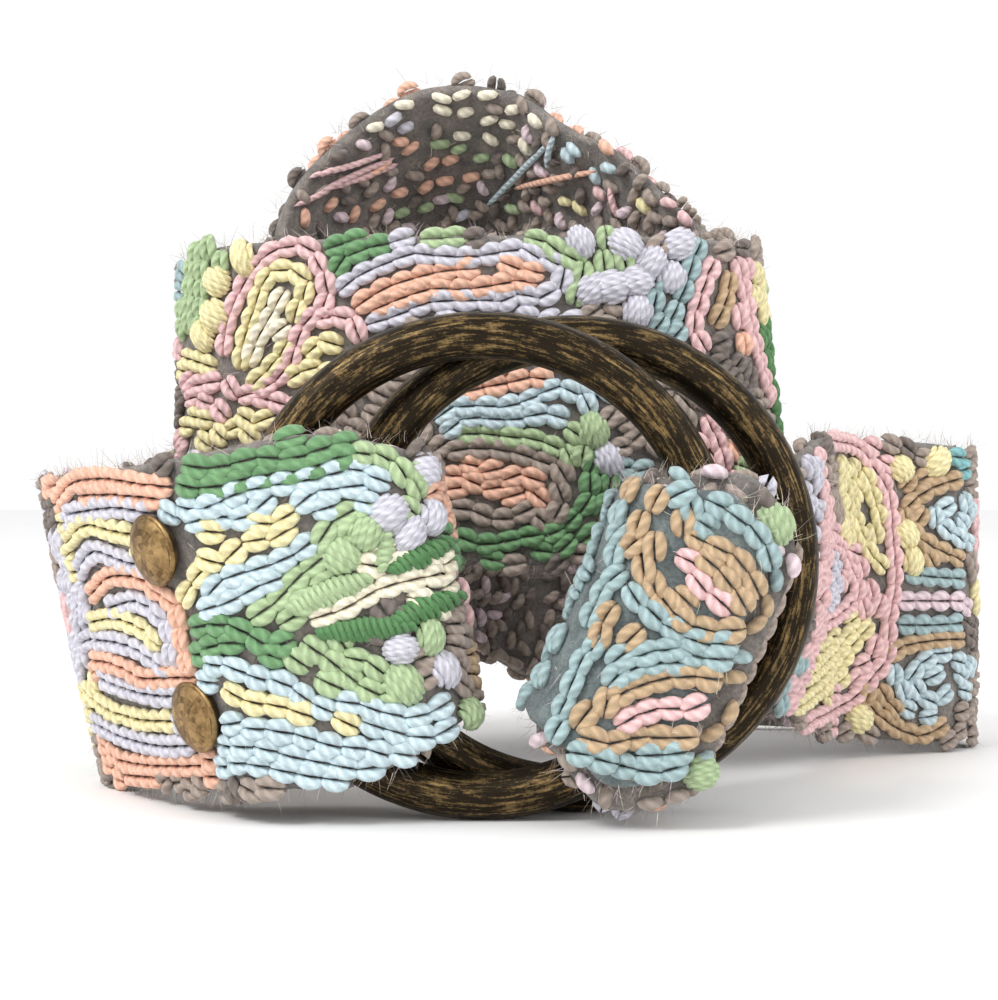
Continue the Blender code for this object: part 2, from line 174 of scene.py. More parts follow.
PANEL_ROWS = (
    ("salmon", (55, 505), (72, 483), (107, 479), (137, 484), (166, 487)),
    ("salmon", (78, 496), (110, 495), (157, 499)),
    ("salmon", (90, 596), (107, 578), (137, 578), (157, 593), (175, 611), (181, 643), (190, 675)),
    ("salmon", (99, 661), (119, 666), (143, 678), (166, 678), (192, 678)),
    ("salmon", (99, 740), (119, 760), (157, 766), (204, 766)),
    ("salmon", (125, 775), (157, 778)),
    ("lavender", (66, 514), (113, 508), (151, 514)),
    ("lavender", (78, 572), (93, 552), (122, 561), (148, 567)),
    ("lavender", (107, 608), (137, 602), (163, 622), (169, 646), (172, 666)),
    ("lavender", (93, 640), (119, 643), (140, 652), (166, 669)),
    ("lavender", (99, 678), (128, 690), (157, 696), (184, 696)),
    ("lavender", (93, 722), (122, 737), (157, 746), (190, 746)),
    ("lavender", (57, 530), (70, 585), (78, 655), (84, 713)),
    ("yellow", (66, 543), (84, 526), (113, 531), (143, 537)),
    ("yellow", (63, 564), (72, 546)),
    ("yellow", (90, 622), (116, 619), (143, 631), (157, 646)),
    ("yellow", (84, 690), (104, 707), (134, 719), (172, 722)),
    ("pink", (63, 602), (72, 637)),
    ("green", (181, 467), (216, 467), (257, 458), (292, 458), (322, 449), (357, 441)),
    ("green", (178, 485), (210, 487), (245, 479), (280, 473), (313, 467), (351, 452)),
    ("green", (190, 628), (216, 625), (242, 631), (269, 646), (292, 640)),
    ("green", (201, 649), (234, 643), (257, 652), (283, 658)),
    ("pale_green", (351, 452), (386, 458), (410, 479), (424, 496)),
    ("pale_green", (369, 446), (404, 464), (430, 479)),
    ("pale_green", (251, 619), (275, 602), (298, 578), (322, 558), (345, 537), (377, 511)),
    ("pale_green", (316, 546), (333, 523), (357, 508)),
    ("pale_green", (304, 643), (330, 661), (351, 678), (377, 693), (404, 687)),
    ("pale_green", (322, 655), (363, 661), (386, 675)),
    ("pale_blue", (175, 508), (204, 508), (239, 493), (275, 485), (313, 479), (351, 470), (369, 473)),
    ("pale_blue", (187, 523), (216, 517), (245, 517), (269, 499), (292, 493), (322, 490), (363, 485)),
    ("pale_blue", (316, 511), (351, 502), (377, 505)),
    ("pale_blue", (204, 596), (228, 578), (263, 567), (292, 555), (319, 534), (322, 517)),
    ("pale_blue", (198, 611), (228, 602), (257, 587), (281, 578)),
    ("pale_blue", (204, 663), (234, 669), (257, 678), (283, 684), (310, 702), (333, 713)),
    ("pale_blue", (298, 678), (327, 699), (357, 704), (386, 713), (418, 716), (451, 702)),
    ("pale_blue", (363, 722), (392, 731), (427, 737), (457, 725)),
    ("pale_blue", (242, 728), (275, 731), (304, 737), (333, 746), (363, 749), (392, 757)),
    ("pale_blue", (231, 746), (263, 749), (292, 757), (322, 763), (357, 769), (383, 766)),
    ("pale_blue", (228, 763), (257, 766), (286, 772), (319, 778), (348, 781)),
    ("yellow", (198, 531), (222, 531), (245, 523), (272, 523), (295, 511)),
    ("yellow", (195, 558), (222, 561), (245, 543), (275, 537), (292, 526)),
    ("yellow", (190, 584), (204, 567)),
    ("yellow", (222, 690), (251, 702), (281, 707), (310, 716), (336, 719), (357, 728)),
    ("yellow", (239, 710), (269, 713), (304, 725)),
    ("cream", (313, 619), (345, 608), (386, 587), (445, 573)),
)
TAB_ROWS = (
    (
        "tan",
        (646, 498),
        (670, 501),
        (690, 532),
        (716, 547),
        (738, 561),
        (757, 588),
        (765, 610),
        (748, 627),
        (716, 631),
        (690, 624),
        (670, 607),
        (651, 585),
        (639, 566),
        (636, 537),
        (641, 513),
    ),
    ("tan", (651, 532), (651, 554), (660, 581), (680, 595), (692, 610)),
    ("tan", (673, 518), (694, 547), (714, 566), (731, 585), (748, 610)),
    ("pink", (665, 537), (675, 556), (694, 564), (699, 583), (716, 598), (731, 610)),
    ("tan", (617, 607), (605, 624), (600, 646)),
    ("tan", (622, 624), (631, 634), (612, 644)),
    (
        "tan",
        (578, 726),
        (597, 704),
        (624, 692),
        (660, 680),
        (690, 677),
        (721, 680),
        (743, 682),
        (733, 702),
        (721, 724),
        (699, 736),
        (665, 738),
        (636, 738),
        (610, 743),
        (585, 738),
    ),
    ("pink", (619, 726), (641, 714), (665, 709), (690, 709), (706, 702)),
    ("pink", (631, 721), (660, 721), (685, 719)),
    (
        "slate",
        (631, 472),
        (660, 469),
        (685, 481),
        (709, 498),
        (733, 515),
        (755, 532),
        (769, 554),
        (774, 576),
        (774, 610),
        (769, 641),
        (757, 670),
        (745, 702),
        (728, 731),
        (709, 753),
        (680, 767),
        (651, 772),
        (619, 765),
        (593, 757),
        (566, 748),
        (554, 726),
        (563, 702),
        (573, 677),
        (585, 648),
        (593, 617),
        (605, 590),
        (612, 561),
        (617, 530),
        (619, 501),
    ),
    ("lilac", (602, 554), (600, 568)),
    ("lilac", (573, 653), (571, 668)),
    ("lilac", (537, 724), (541, 743)),
    ("slate", (650, 487), (676, 492), (700, 520), (728, 540), (752, 565)),
    ("slate", (628, 505), (622, 545), (626, 580), (645, 606), (672, 628), (700, 642), (740, 644)),
    ("slate", (612, 660), (640, 655), (670, 650), (705, 658), (745, 660)),
    ("slate", (600, 680), (625, 672), (655, 664), (690, 662)),
    ("slate", (590, 755), (625, 755), (660, 755), (700, 748), (728, 722)),
    ("slate", (582, 668), (592, 640), (590, 690), (570, 715)),
)
MIDDLE_ROWS = (
    ("pale_green", (190, 260), (189, 290), (188, 330)),
    ("pale_green", (202, 262), (200, 300), (198, 335)),
    ("yellow", (183, 357), (212, 367)),
    ("yellow", (189, 416), (208, 420)),
    ("yellow", (237, 414), (254, 422), (271, 416)),
    (
        "pink",
        (223, 355),
        (225, 329),
        (233, 304),
        (246, 279),
        (261, 260),
        (279, 249),
        (305, 247),
        (317, 262),
        (326, 285),
        (322, 308),
        (307, 321),
        (296, 342),
        (290, 363),
        (279, 376),
        (263, 388),
        (239, 395),
        (225, 380),
    ),
    (
        "yellow",
        (239, 367),
        (244, 338),
        (254, 308),
        (263, 283),
        (275, 271),
        (296, 273),
        (305, 287),
        (296, 311),
        (290, 334),
        (279, 355),
        (265, 372),
        (250, 386),
    ),
    ("cream", (248, 363), (258, 338), (271, 313), (282, 292)),
    ("pink", (296, 351), (309, 325), (330, 317), (351, 321), (359, 338)),
    ("yellow", (305, 355), (322, 342), (338, 346)),
    ("yellow", (288, 380), (301, 372), (317, 367)),
    ("pink", (191, 386), (221, 382), (254, 395), (279, 403), (305, 409)),
    ("pink", (195, 399), (218, 409), (223, 422)),
    ("green", (326, 249), (351, 241), (372, 237), (397, 233), (423, 237)),
    ("green", (334, 275), (343, 260), (364, 249), (389, 243)),
    (
        "pale_green",
        (423, 239),
        (452, 237),
        (482, 233),
        (500, 232),
        (520, 236),
        (545, 242),
        (559, 252),
        (579, 262),
        (583, 271),
        (579, 287),
        (575, 303),
    ),
    (
        "lavender",
        (338, 292),
        (351, 281),
        (368, 271),
        (389, 262),
        (414, 254),
        (444, 256),
        (475, 256),
        (520, 250),
        (539, 258),
        (555, 263),
        (563, 277),
        (555, 289),
        (539, 297),
        (520, 295),
        (496, 303),
    ),
    ("lavender", (366, 325), (397, 315), (433, 302), (500, 300)),
    (
        "salmon",
        (355, 308),
        (372, 296),
        (393, 285),
        (418, 277),
        (444, 271),
        (473, 268),
        (500, 263),
        (520, 269),
        (543, 273),
    ),
    ("salmon", (370, 311), (402, 298), (433, 289), (465, 289), (494, 285), (520, 281), (535, 283)),
    ("slate", (694, 256), (688, 279), (678, 305), (670, 323)),
    ("pink", (715, 260), (707, 279), (699, 305), (695, 329), (707, 349)),
    ("pink", (737, 260), (747, 299), (753, 331), (761, 358), (769, 388)),
    ("tan", (731, 275), (727, 299), (717, 323)),
    ("salmon", (742, 330), (747, 358)),
    ("yellow", (761, 289), (765, 323)),
    ("pink", (707, 418), (718, 440), (727, 467)),
    ("salmon", (717, 428), (730, 442), (743, 457)),
    ("wool", (678, 394), (694, 410)),
)
RING_ROWS = (
    ("salmon", (461, 393), (481, 388), (507, 383), (530, 378), (553, 380)),
    (
        "pale_blue",
        (436, 419),
        (453, 408),
        (481, 406),
        (507, 406),
        (532, 398),
        (558, 388),
        (583, 398),
        (591, 414),
    ),
    ("pale_blue", (443, 434), (466, 419), (494, 419), (517, 419), (543, 414), (568, 419)),
    (
        "pale_green",
        (438, 434),
        (461, 434),
        (484, 434),
        (512, 437),
        (532, 439),
        (548, 444),
        (568, 454),
        (573, 467),
    ),
    ("pale_green", (566, 429), (581, 437), (583, 452), (578, 467)),
    ("wool", (446, 452), (466, 449), (492, 449), (520, 454), (543, 462), (558, 467), (568, 482)),
    ("salmon", (438, 475), (458, 477), (481, 485), (494, 488), (512, 477), (527, 477), (543, 482)),
    ("salmon", (443, 493), (461, 488), (497, 498), (522, 493)),
    ("wool", (448, 508), (469, 510), (492, 518), (512, 518), (530, 510), (548, 523), (563, 503)),
    (
        "green",
        (599, 452),
        (591, 472),
        (589, 498),
        (573, 518),
        (553, 533),
        (530, 536),
        (507, 541),
        (481, 544),
        (456, 536),
        (438, 531),
    ),
)
RIGHT_ROWS = (
    (
        "pink",
        (831, 440),
        (858, 447),
        (875, 469),
        (889, 494),
        (893, 534),
        (896, 579),
        (889, 623),
        (887, 657),
        (871, 679),
        (853, 699),
        (820, 717),
        (797, 730),
    ),
    ("pink", (820, 451), (826, 500), (829, 545), (824, 612), (808, 668), (788, 712)),
    ("pink", (842, 545), (858, 590), (842, 612), (826, 623)),
    ("yellow", (846, 467), (851, 489), (858, 523), (871, 552), (887, 570)),
    ("yellow", (864, 471), (875, 500), (882, 525)),
    ("yellow", (871, 623), (853, 646), (831, 679), (808, 701), (788, 712)),
    ("yellow", (853, 628), (831, 657), (808, 679)),
    ("lavender", (817, 462), (820, 489)),
    ("lavender", (833, 556), (840, 579), (833, 601)),
    ("tan", (962, 478), (931, 489), (909, 507), (909, 525), (931, 545), (965, 561)),
    ("pale_blue", (953, 503), (936, 516), (953, 534)),
    ("slate", (909, 574), (935, 577), (965, 579)),
    ("slate", (900, 625), (935, 625), (965, 623)),
    ("lilac", (900, 601), (935, 601), (965, 601)),
    (
        "tan",
        (965, 639),
        (931, 641),
        (898, 650),
        (875, 679),
        (869, 701),
        (891, 724),
        (920, 735),
        (949, 724),
    ),
    ("pale_blue", (953, 652), (931, 657), (913, 679), (931, 701), (953, 690)),
    ("turquoise", (948, 456), (966, 458)),
)

# Bobbles: a yarn and the pixels where they sit

BOBBLES = (
    ("lavender", (413, 446), (427, 470), (389, 514), (410, 534), (433, 517), (401, 649)),
    ("pale_green", (366, 534), (342, 555), (430, 637), (404, 684), (471, 713), (436, 754)),
    ("lavender", (445, 669), (581, 242), (626, 244), (652, 262), (672, 277), (593, 289)),
    ("lavender", (612, 287), (638, 281), (680, 244), (638, 311), (609, 459)),
    ("pale_green", (594, 431), (775, 525), (701, 773)),
    ("yellow", (243, 258), (216, 281), (214, 315), (202, 336)),
    ("yellow", (902, 469), (938, 462), (907, 534), (913, 561), (860, 719)),
)

# Satin leaves: a yarn, both ends of the axis, half the width in pixels

LEAVES = (
    ("pale_green", (292, 608), (366, 578), 16),
    ("pale_green", (383, 567), (386, 537), 12),
    ("leaf_green", (322, 634), (410, 625), 14),
    ("leaf_green", (398, 620), (457, 596), 16),
    ("leaf_green", (392, 570), (445, 543), 14),
)

# Dabs of yarn and loose strands on the wrong side that the arch shows

DABS = (
    ("salmon", (351, 107), (412, 89), (327, 145), (401, 145), (412, 151), (433, 166), (451, 163)),
    ("salmon", (427, 189), (445, 183), (401, 195), (471, 180), (380, 207), (357, 215), (307, 220)),
    ("salmon", (333, 207), (602, 148), (580, 135), (558, 122)),
    ("cream", (404, 108), (377, 129), (442, 101), (462, 98), (487, 98), (439, 113), (465, 116)),
    ("cream", (489, 123), (506, 127), (533, 123), (462, 139), (489, 142), (524, 148), (512, 113)),
    ("lavender", (395, 122), (407, 130), (462, 218)),
    ("pale_green", (440, 147), (459, 152), (481, 161), (509, 163), (454, 201), (427, 210)),
    ("pale_green", (404, 215), (511, 211)),
    ("pale_blue", (565, 157), (571, 151), (591, 177), (606, 171)),
    ("pink", (534, 210), (597, 195), (650, 186), (665, 205), (682, 220)),
    ("yellow", (562, 204), (577, 210), (641, 208)),
)
STRANDS = (
    ("pink", (291, 210), (348, 177), (398, 157)),
    ("pink", (310, 177), (386, 154)),
    ("pink", (319, 192), (401, 163)),
    ("salmon", (357, 183), (392, 160)),
    ("pale_blue", (486, 207), (533, 160), (553, 139)),
    ("pale_blue", (547, 169), (553, 136)),
    ("salmon", (512, 189), (560, 178), (597, 171)),
    ("pink", (609, 186), (618, 218)),
)

# Yarn work sizes

CORE_THICKNESS = 3.0 * MM
FACING_CORE_THICKNESS = 1.4 * MM
CORE_STEP = 1.6 * MM
CORE_INSET = 0.6 * MM
STITCH_PITCH = 3.9 * MM
ROW_PITCH = 3.7 * MM
LEG_RADIUS = 1.02 * MM
FLOOR_LEVEL = 0.02 * MM
CHAIN_SPACING = 3.2 * MM
FACING_SPACING = 3.3 * MM
WRONG_SPACING = 3.3 * MM
FIBRE_COUNT = 15000
HASH_CELL = 4 * MM


def linear(colour):
    """An sRGB colour from 0 to 255 as linear light."""
    return tuple(
        (c / 255 / 12.92) if c <= 10 else ((c / 255 + 0.055) / 1.055) ** 2.4 for c in colour
    )


# The strap's route


def half_chord(offset):
    return math.sqrt(max(RING_HOLE**2 - offset**2, (RING_HOLE / 4) ** 2))


def coil_stations():
    return [
        (
            Vector((across * COIL_SPAN, back * COIL_DEPTH, height * BELT_WIDTH)),
            math.radians(lean),
            width * BELT_WIDTH,
        )
        for _, across, back, height, lean, width in COIL
    ]


def inward_offsets(stations, distance):
    places = [place for place, _, _ in stations]
    found = []
    for i, place in enumerate(places):
        ahead = places[min(i + 1, len(places) - 1)] - places[max(i - 1, 0)]
        outward = Vector((0, 0, 1)).cross(ahead.normalized()).normalized()
        found.append(place - outward * distance)
    return found


def fold_stations(after):
    front_wire = FRONT_RING.x - RING_RADIUS
    back_wire = BACK_RING.x - RING_RADIUS * math.cos(RING_TURN)
    back_wire_depth = BACK_RING.y - RING_RADIUS * math.sin(RING_TURN)
    bend = FRONT_RING.x - 5.7 * MM
    bend_depth = 0.6 * back_wire_depth
    neck = 2 * (half_chord(BACK_RING.x - bend) - 1.25 * WIRE_RADIUS)
    low = after[0].z + 1.0 * MM
    slope = math.tan(FOLD_RISE)

    def height(x):
        return low + max(0.0, x - front_wire + 12 * MM) * slope

    def station(x, y, lean, width):
        return Vector((x, y, height(x))), math.radians(lean), width

    panel = 0.92 * BELT_WIDTH
    front = [
        station(bend, bend_depth, -10.0, neck),
        station(bend - 4.0 * MM, -4.4 * MM, -6.0, 0.6 * neck + 0.4 * panel),
        station(back_wire, -WIRE_REACH - 0.5 * MM, 0.0, panel),
        station(front_wire, -WIRE_REACH - 0.1 * MM, 3.0, panel),
        station(front_wire - 4.2 * MM, -5.9 * MM, 8.0, panel),
        station(front_wire - 9.4 * MM, -0.6 * MM, 13.0, panel),
    ]
    inward = inward_offsets(front[-2:] + [after], LAYER_PITCH + 0.4 * MM)
    back = [
        (inward[2], -after[1], 0.90 * panel),
        station(front_wire - 9.8 * MM, 11.2 * MM, -13.5, 0.90 * panel),
        station(front_wire - 5.0 * MM, 8.6 * MM, -10.5, 0.91 * panel),
        station(front_wire + 0.4 * MM, WIRE_REACH + 2.6 * MM, -6.0, 0.92 * panel),
        station(front_wire + 7.0 * MM, WIRE_REACH + 4.6 * MM, -3.0, 0.93 * panel),
        station(back_wire, back_wire_depth + WIRE_REACH + 1.5 * MM, 0.0, 0.95 * panel),
        station(bend - 4.5 * MM, back_wire_depth + WIRE_REACH - 0.8 * MM, -6.0, neck),
    ]
    return back, front


def tab_stations():
    bend = Vector((FRONT_RING.x + 20.3 * MM, -5.2 * MM, RING_HEIGHT - 7.0 * MM))
    neck = 2 * (half_chord(bend.x - FRONT_RING.x) - 2.05 * WIRE_RADIUS)
    front = -WIRE_REACH - 2.8 * MM
    drop = math.tan(TAB_TILT)
    tip = bend.x + TAB_LENGTH * math.cos(TAB_TILT) - BELT_THICKNESS / 2

    def behind(x, y, height, lean, width):
        return bend + Vector((x, y - bend.y, height)), math.radians(lean), width

    def over(x, y, lean, width):
        return Vector((x, y, bend.z - (x - bend.x) * drop)), math.radians(lean), width

    broad = 0.95 * BELT_WIDTH
    laid = bend.x + 10 * MM
    return [
        behind(32.0 * MM, 43 * MM, -2.2 * MM, 9, 1.06 * neck),
        behind(19.0 * MM, 27 * MM, -2.2 * MM, 12, 1.03 * neck),
        behind(7.5 * MM, 12 * MM, -0.6 * MM, 17, neck),
        behind(1.6 * MM, 1 * MM, 0.2 * MM, 18, 1.01 * neck),
        (bend, TAB_TILT, 0.55 * neck + 0.45 * broad),
        over(bend.x + 3.6 * MM, -9.0 * MM, 10, 0.35 * neck + 0.65 * broad),
        over(laid, front, 1, broad),
        over((laid + tip) / 2, front - 0.3 * MM, 0, broad),
        over(tip, front, 0, broad),
    ]


def smooth_route(stations, steps=24):
    rows = np.array([[*place, lean, width] for place, lean, width in stations])
    rows = np.vstack([2 * rows[0] - rows[1], rows, 2 * rows[-1] - rows[-2]])
    found = []
    for p0, p1, p2, p3 in zip(rows, rows[1:], rows[2:], rows[3:]):
        knots = [0.0]
        for a, b in ((p0, p1), (p1, p2), (p2, p3)):
            knots.append(knots[-1] + math.sqrt(np.linalg.norm((b - a)[:3])))
        t0, t1, t2, t3 = knots
        for t in np.linspace(t1, t2, steps, endpoint=False):
            a1 = p0 + (p1 - p0) * (t - t0) / (t1 - t0)
            a2 = p1 + (p2 - p1) * (t - t1) / (t2 - t1)
            a3 = p2 + (p3 - p2) * (t - t2) / (t3 - t2)
            b1 = a1 + (a2 - a1) * (t - t0) / (t2 - t0)
            b2 = a2 + (a3 - a2) * (t - t1) / (t3 - t1)
            found.append(b1 + (b2 - b1) * (t - t1) / (t2 - t1))
    found.append(rows[-2])
    return np.array(found)


class Route:
    """The strap's middle line as arrays, one row each quarter of a millimetre."""

    STEP = 0.25 * MM

    def __init__(self):
        coil = coil_stations()
        back, front = fold_stations(coil[0])
        rows = smooth_route(back + front + coil + tab_stations())
        steps = np.linalg.norm(np.diff(rows[:, :3], axis=0), axis=1)
        distance = np.concatenate([[0.0], np.cumsum(steps)])
        self.length = float(distance[-1])
        self.rivets = float(distance[(len(back) + len(front) - 1) * 24]) + RIVET_SETBACK
        self.s = np.arange(0.0, self.length, self.STEP)
        read = [np.interp(self.s, distance, column) for column in rows.T]
        self.place = np.stack(read[:3], axis=1) + np.array(SHIFT)
        ahead = np.stack([np.interp(self.s + 1.5 * MM, distance, c) for c in rows.T[:3]], axis=1)
        behind = np.stack([np.interp(self.s - 1.5 * MM, distance, c) for c in rows.T[:3]], axis=1)
        along = ahead - behind
        along /= np.linalg.norm(along, axis=1)[:, None]
        up = np.array([0.0, 0.0, 1.0]) - along * along[:, 2:3]
        up /= np.linalg.norm(up, axis=1)[:, None]
        out = np.cross(up, along)
        lean = read[3][:, None]
        self.up = up * np.cos(lean) + out * np.sin(lean)
        self.out = np.cross(self.up, along)
        self.along = along
        self.width = read[4]

    def read(self, s):
        """Place, outward, upward and travel directions and width at distances s."""
        i = np.clip(np.round(np.asarray(s) / self.STEP).astype(int), 0, len(self.s) - 1)
        rest = (np.asarray(s) - self.s[i])[..., None]
        place = self.place[i] + self.along[i] * rest
        return place, self.out[i], self.up[i], self.along[i], self.width[i]


ROUTE = Route()


def corner(distance, radius):
    """How much narrower each side is at this distance from a rounded end."""
    inside = np.clip(radius - distance, 0.0, radius)
    return radius - np.sqrt(np.maximum(radius**2 - inside**2, 0.0))


class Face:
    """One side of the strap or of its facing, where s runs along it and w upwards."""

    def __init__(self, name, side, base, start, end, share):
        self.name = name
        self.side = side
        self.base = base
        self.start = start
        self.end = end
        self.share = share
        self.s = []
        self.w = []
        self.heading = []
        self.yarn = []
        self.taken = {}

    def half(self, s):
        """Half the width that the yarn work covers at distances s."""
        _, _, _, _, width = ROUTE.read(s)
        cut = corner(self.end - np.asarray(s), TIP_CORNER)
        if self.name != "facing":
            cut = np.maximum(cut, corner(np.asarray(s), END_CORNER))
        return width * self.share / 2 - cut

    def point(self, s, w, lift=0.0):
        """Places, outward normals and the two directions along the surface."""
        place, out, up, along, width = ROUTE.read(s)
        half = width / 2
        curl = EDGE_CURL * (w / half) ** 2
        height = self.side * (self.base + lift) - curl
        where = place + up * np.asarray(w)[..., None] + out * np.asarray(height)[..., None]
        normal = out * self.side
        return where, normal, along, up

    def free(self, s, w, reach):
        """Whether no stitch lies within reach of this spot."""
        i, j = int(s // HASH_CELL), int(w // HASH_CELL)
        for a in (i - 1, i, i + 1):
            for b in (j - 1, j, j + 1):
                for k in self.taken.get((a, b), ()):
                    if (self.s[k] - s) ** 2 + (self.w[k] - w) ** 2 < reach**2:
                        return False
        return True

    def nearest(self, s, w, reach):
        """The nearest stitch's index within reach, or None."""
        span = int(reach // HASH_CELL) + 1
        i, j = int(s // HASH_CELL), int(w // HASH_CELL)
        best, found = reach**2, None
        for a in range(i - span, i + span + 1):
            for b in range(j - span, j + span + 1):
                for k in self.taken.get((a, b), ()):
                    far = (self.s[k] - s) ** 2 + (self.w[k] - w) ** 2
                    if far < best:
                        best, found = far, k
        return found

    def add(self, s, w, heading, yarn):
        self.taken.setdefault((int(s // HASH_CELL), int(w // HASH_CELL)), []).append(len(self.s))
        self.s.append(s)
        self.w.append(w)
        self.heading.append(heading)
        self.yarn.append(yarn)

    def inside(self, s, w, margin):
        if not self.start + margin < s < self.end - margin:
            return False
        if self.name == "right":
            for side in (-1, 1):
                if (s - ROUTE.rivets) ** 2 + (w - side * RIVET_SPACING / 2) ** 2 < (6.4 * MM) ** 2:
                    return False
        return abs(w) < float(self.half(s)) - margin


FACING_MIDDLE = BELT_THICKNESS / 2 + FACING_THICKNESS / 2 + 1.6 * CLEARANCE
FACING_END = ROUTE.length - (BELT_WIDTH - FACING_WIDTH) / 2
RIGHT = Face("right", 1, CORE_THICKNESS / 2, 0.0, ROUTE.length, 1.0)
WRONG = Face("wrong", -1, CORE_THICKNESS / 2, 0.0, ROUTE.length, 1.0)
FACING = Face(
    "facing",
    -1,
    FACING_MIDDLE + FACING_CORE_THICKNESS / 2,
    ROUTE.length - FACING_LENGTH,
    FACING_END,
    FACING_WIDTH / BELT_WIDTH,
)
FACES = (RIGHT, WRONG, FACING)


# Reading the photograph's pixels on the strap


class Sight:
    """Casts the camera's rays through pixels onto the faces of the strap."""

    def __init__(self):
        self.keys = []
        corners, faces = [], []
        for face in FACES:
            s = np.arange(face.start + 0.5 * MM, face.end - 0.5 * MM, 1.5 * MM)
            share = np.linspace(-1, 1, 15)
            half = face.half(s)
            grid = [face.point(s, half * k, 1.0 * MM)[0] for k in share]
            first = len(corners)
            for column in range(len(s)):
                corners += [Vector(grid[row][column]) for row in range(len(share))]
            for column in range(len(s) - 1):
                for row in range(len(share) - 1):
                    a = first + column * len(share) + row
                    faces.append((a, a + 1, a + 1 + len(share), a + len(share)))
                    middle = (share[row] + share[row + 1]) / 2
                    self.keys.append((face, s[column] + 0.75 * MM, middle * half[column]))
        self.tree = BVHTree.FromPolygons(corners, faces)

    def hit(self, x, y):
        """The face and the place on it that this pixel shows, or None."""
        ray = Vector((x - MIDDLE_COLUMN, FOCAL_PIXELS, HORIZON_ROW - y)).normalized()
        place, _, index, _ = self.tree.ray_cast(CAMERA_PLACE, ray)
        if index is None:
            return None
        face, s, w = self.keys[index]
        middle, normal, along, up = face.point(s, w, 1.0 * MM)
        off = np.array(place) - middle
        return face, s + float(off @ along), w + float(off @ up)


SIGHT = Sight()


def curve_through(points, step=2.0):
    """Pixels along a smooth curve through the points, this far apart."""
    rows = np.array(points, dtype=float)
    if len(rows) == 1:
        return rows
    rows = np.vstack([2 * rows[0] - rows[1], rows, 2 * rows[-1] - rows[-2]])
    found = []
    for p0, p1, p2, p3 in zip(rows, rows[1:], rows[2:], rows[3:]):
        count = max(2, int(np.linalg.norm(p2 - p1) / step))
        for t in np.linspace(0, 1, count, endpoint=False):
            found.append(
                0.5
                * (
                    2 * p1
                    + (p2 - p0) * t
                    + (2 * p0 - 5 * p1 + 4 * p2 - p3) * t**2
                    + (3 * p1 - p0 - 3 * p2 + p3) * t**3
                )
            )
    found.append(rows[-2])
    return np.array(found)


def runs_of(points):
    """The stretches of a pixel curve that lie on one face, as (face, [(s, w), ...])."""
    runs, current, last = [], [], None
    for x, y in curve_through(points):
        found = SIGHT.hit(x, y)
        near = (
            found is not None
            and last is not None
            and found[0] is last[0]
            and abs(found[1] - last[1]) + abs(found[2] - last[2]) < 5 * MM
        )
        if not near and current:
            runs.append((last[0], current))
            current = []
        if found is not None:
            current.append((found[1], found[2]))
        last = found
    if current:
        runs.append((last[0], current))
    return runs


def lay_chain(face, path, yarn, pitch=STITCH_PITCH, reach=2.0 * MM):
    """Chain stitches along a path on a face, where none lies yet."""
    rows = np.array(path)
    if len(rows) < 2:
        return
    steps = np.linalg.norm(np.diff(rows, axis=0), axis=1)
    length = np.concatenate([[0.0], np.cumsum(steps)])
    if length[-1] < 1.2 * MM:
        return
    count = max(1, int(round(length[-1] / pitch)))
    for k in range(count):
        at = (k + 0.5) * length[-1] / count
        s, w = (float(np.interp(at, length, rows[:, i])) for i in (0, 1))
        ds, dw = (
            float(np.interp(at + 1.0 * MM, length, rows[:, i]))
            - float(np.interp(at - 1.0 * MM, length, rows[:, i]))
            for i in (0, 1)
        )
        if face.inside(s, w, 1.0 * MM) and face.free(s, w, reach):
            face.add(s, w, math.atan2(dw, ds), yarn)


for table in (PANEL_ROWS, TAB_ROWS, MIDDLE_ROWS, RING_ROWS, RIGHT_ROWS):
    for yarn, *points in table:
        for face, path in runs_of(points):
            lay_chain(face, path, yarn)

# What the camera sees of each face, in cells of three millimetres

SEEN_CELL = 3.0 * MM
SEEN = set()
for x in range(30, 990, 7):
    for y in range(70, 820, 7):
        found = SIGHT.hit(x, y)
        if found is not None:
            SEEN.add((found[0].name, int(found[1] // SEEN_CELL), int(found[2] // SEEN_CELL)))


def seen(face, s, w):
    i, j = int(s // SEEN_CELL), int(w // SEEN_CELL)
    return any((face.name, i + a, j + b) in SEEN for a in (-1, 0, 1) for b in (-1, 0, 1))


# Places of the bobbles, so that the filling leaves them bare

BOBBLE_LIST = []
for yarn, *points in BOBBLES:
    for x, y in points:
        found = SIGHT.hit(x, y)
        if found is not None and found[0].inside(found[1], found[2], 1.0 * MM):
            BOBBLE_LIST.append((*found, yarn))


# Ornament on the stretches that the photograph hides


def ellipse(s, w, a, b, turn):
    angles = np.linspace(0, 2 * math.pi, 60)
    x, y = a * np.cos(angles), b * np.sin(angles)
    return np.stack(
        [s + x * math.cos(turn) - y * math.sin(turn), w + x * math.sin(turn) + y * math.cos(turn)],
        axis=1,
    )


def lay_hidden(face, path, yarn):
    """A chain on those parts of a path that the camera doesn't see."""
    before = [not seen(face, s, w) for s, w in path]
    current = []
    for (s, w), hidden in zip(path, before):
        if hidden:
            current.append((s, w))
        elif len(current) > 2:
            lay_chain(face, current, yarn)
            current = []
    if len(current) > 2:
        lay_chain(face, current, yarn)


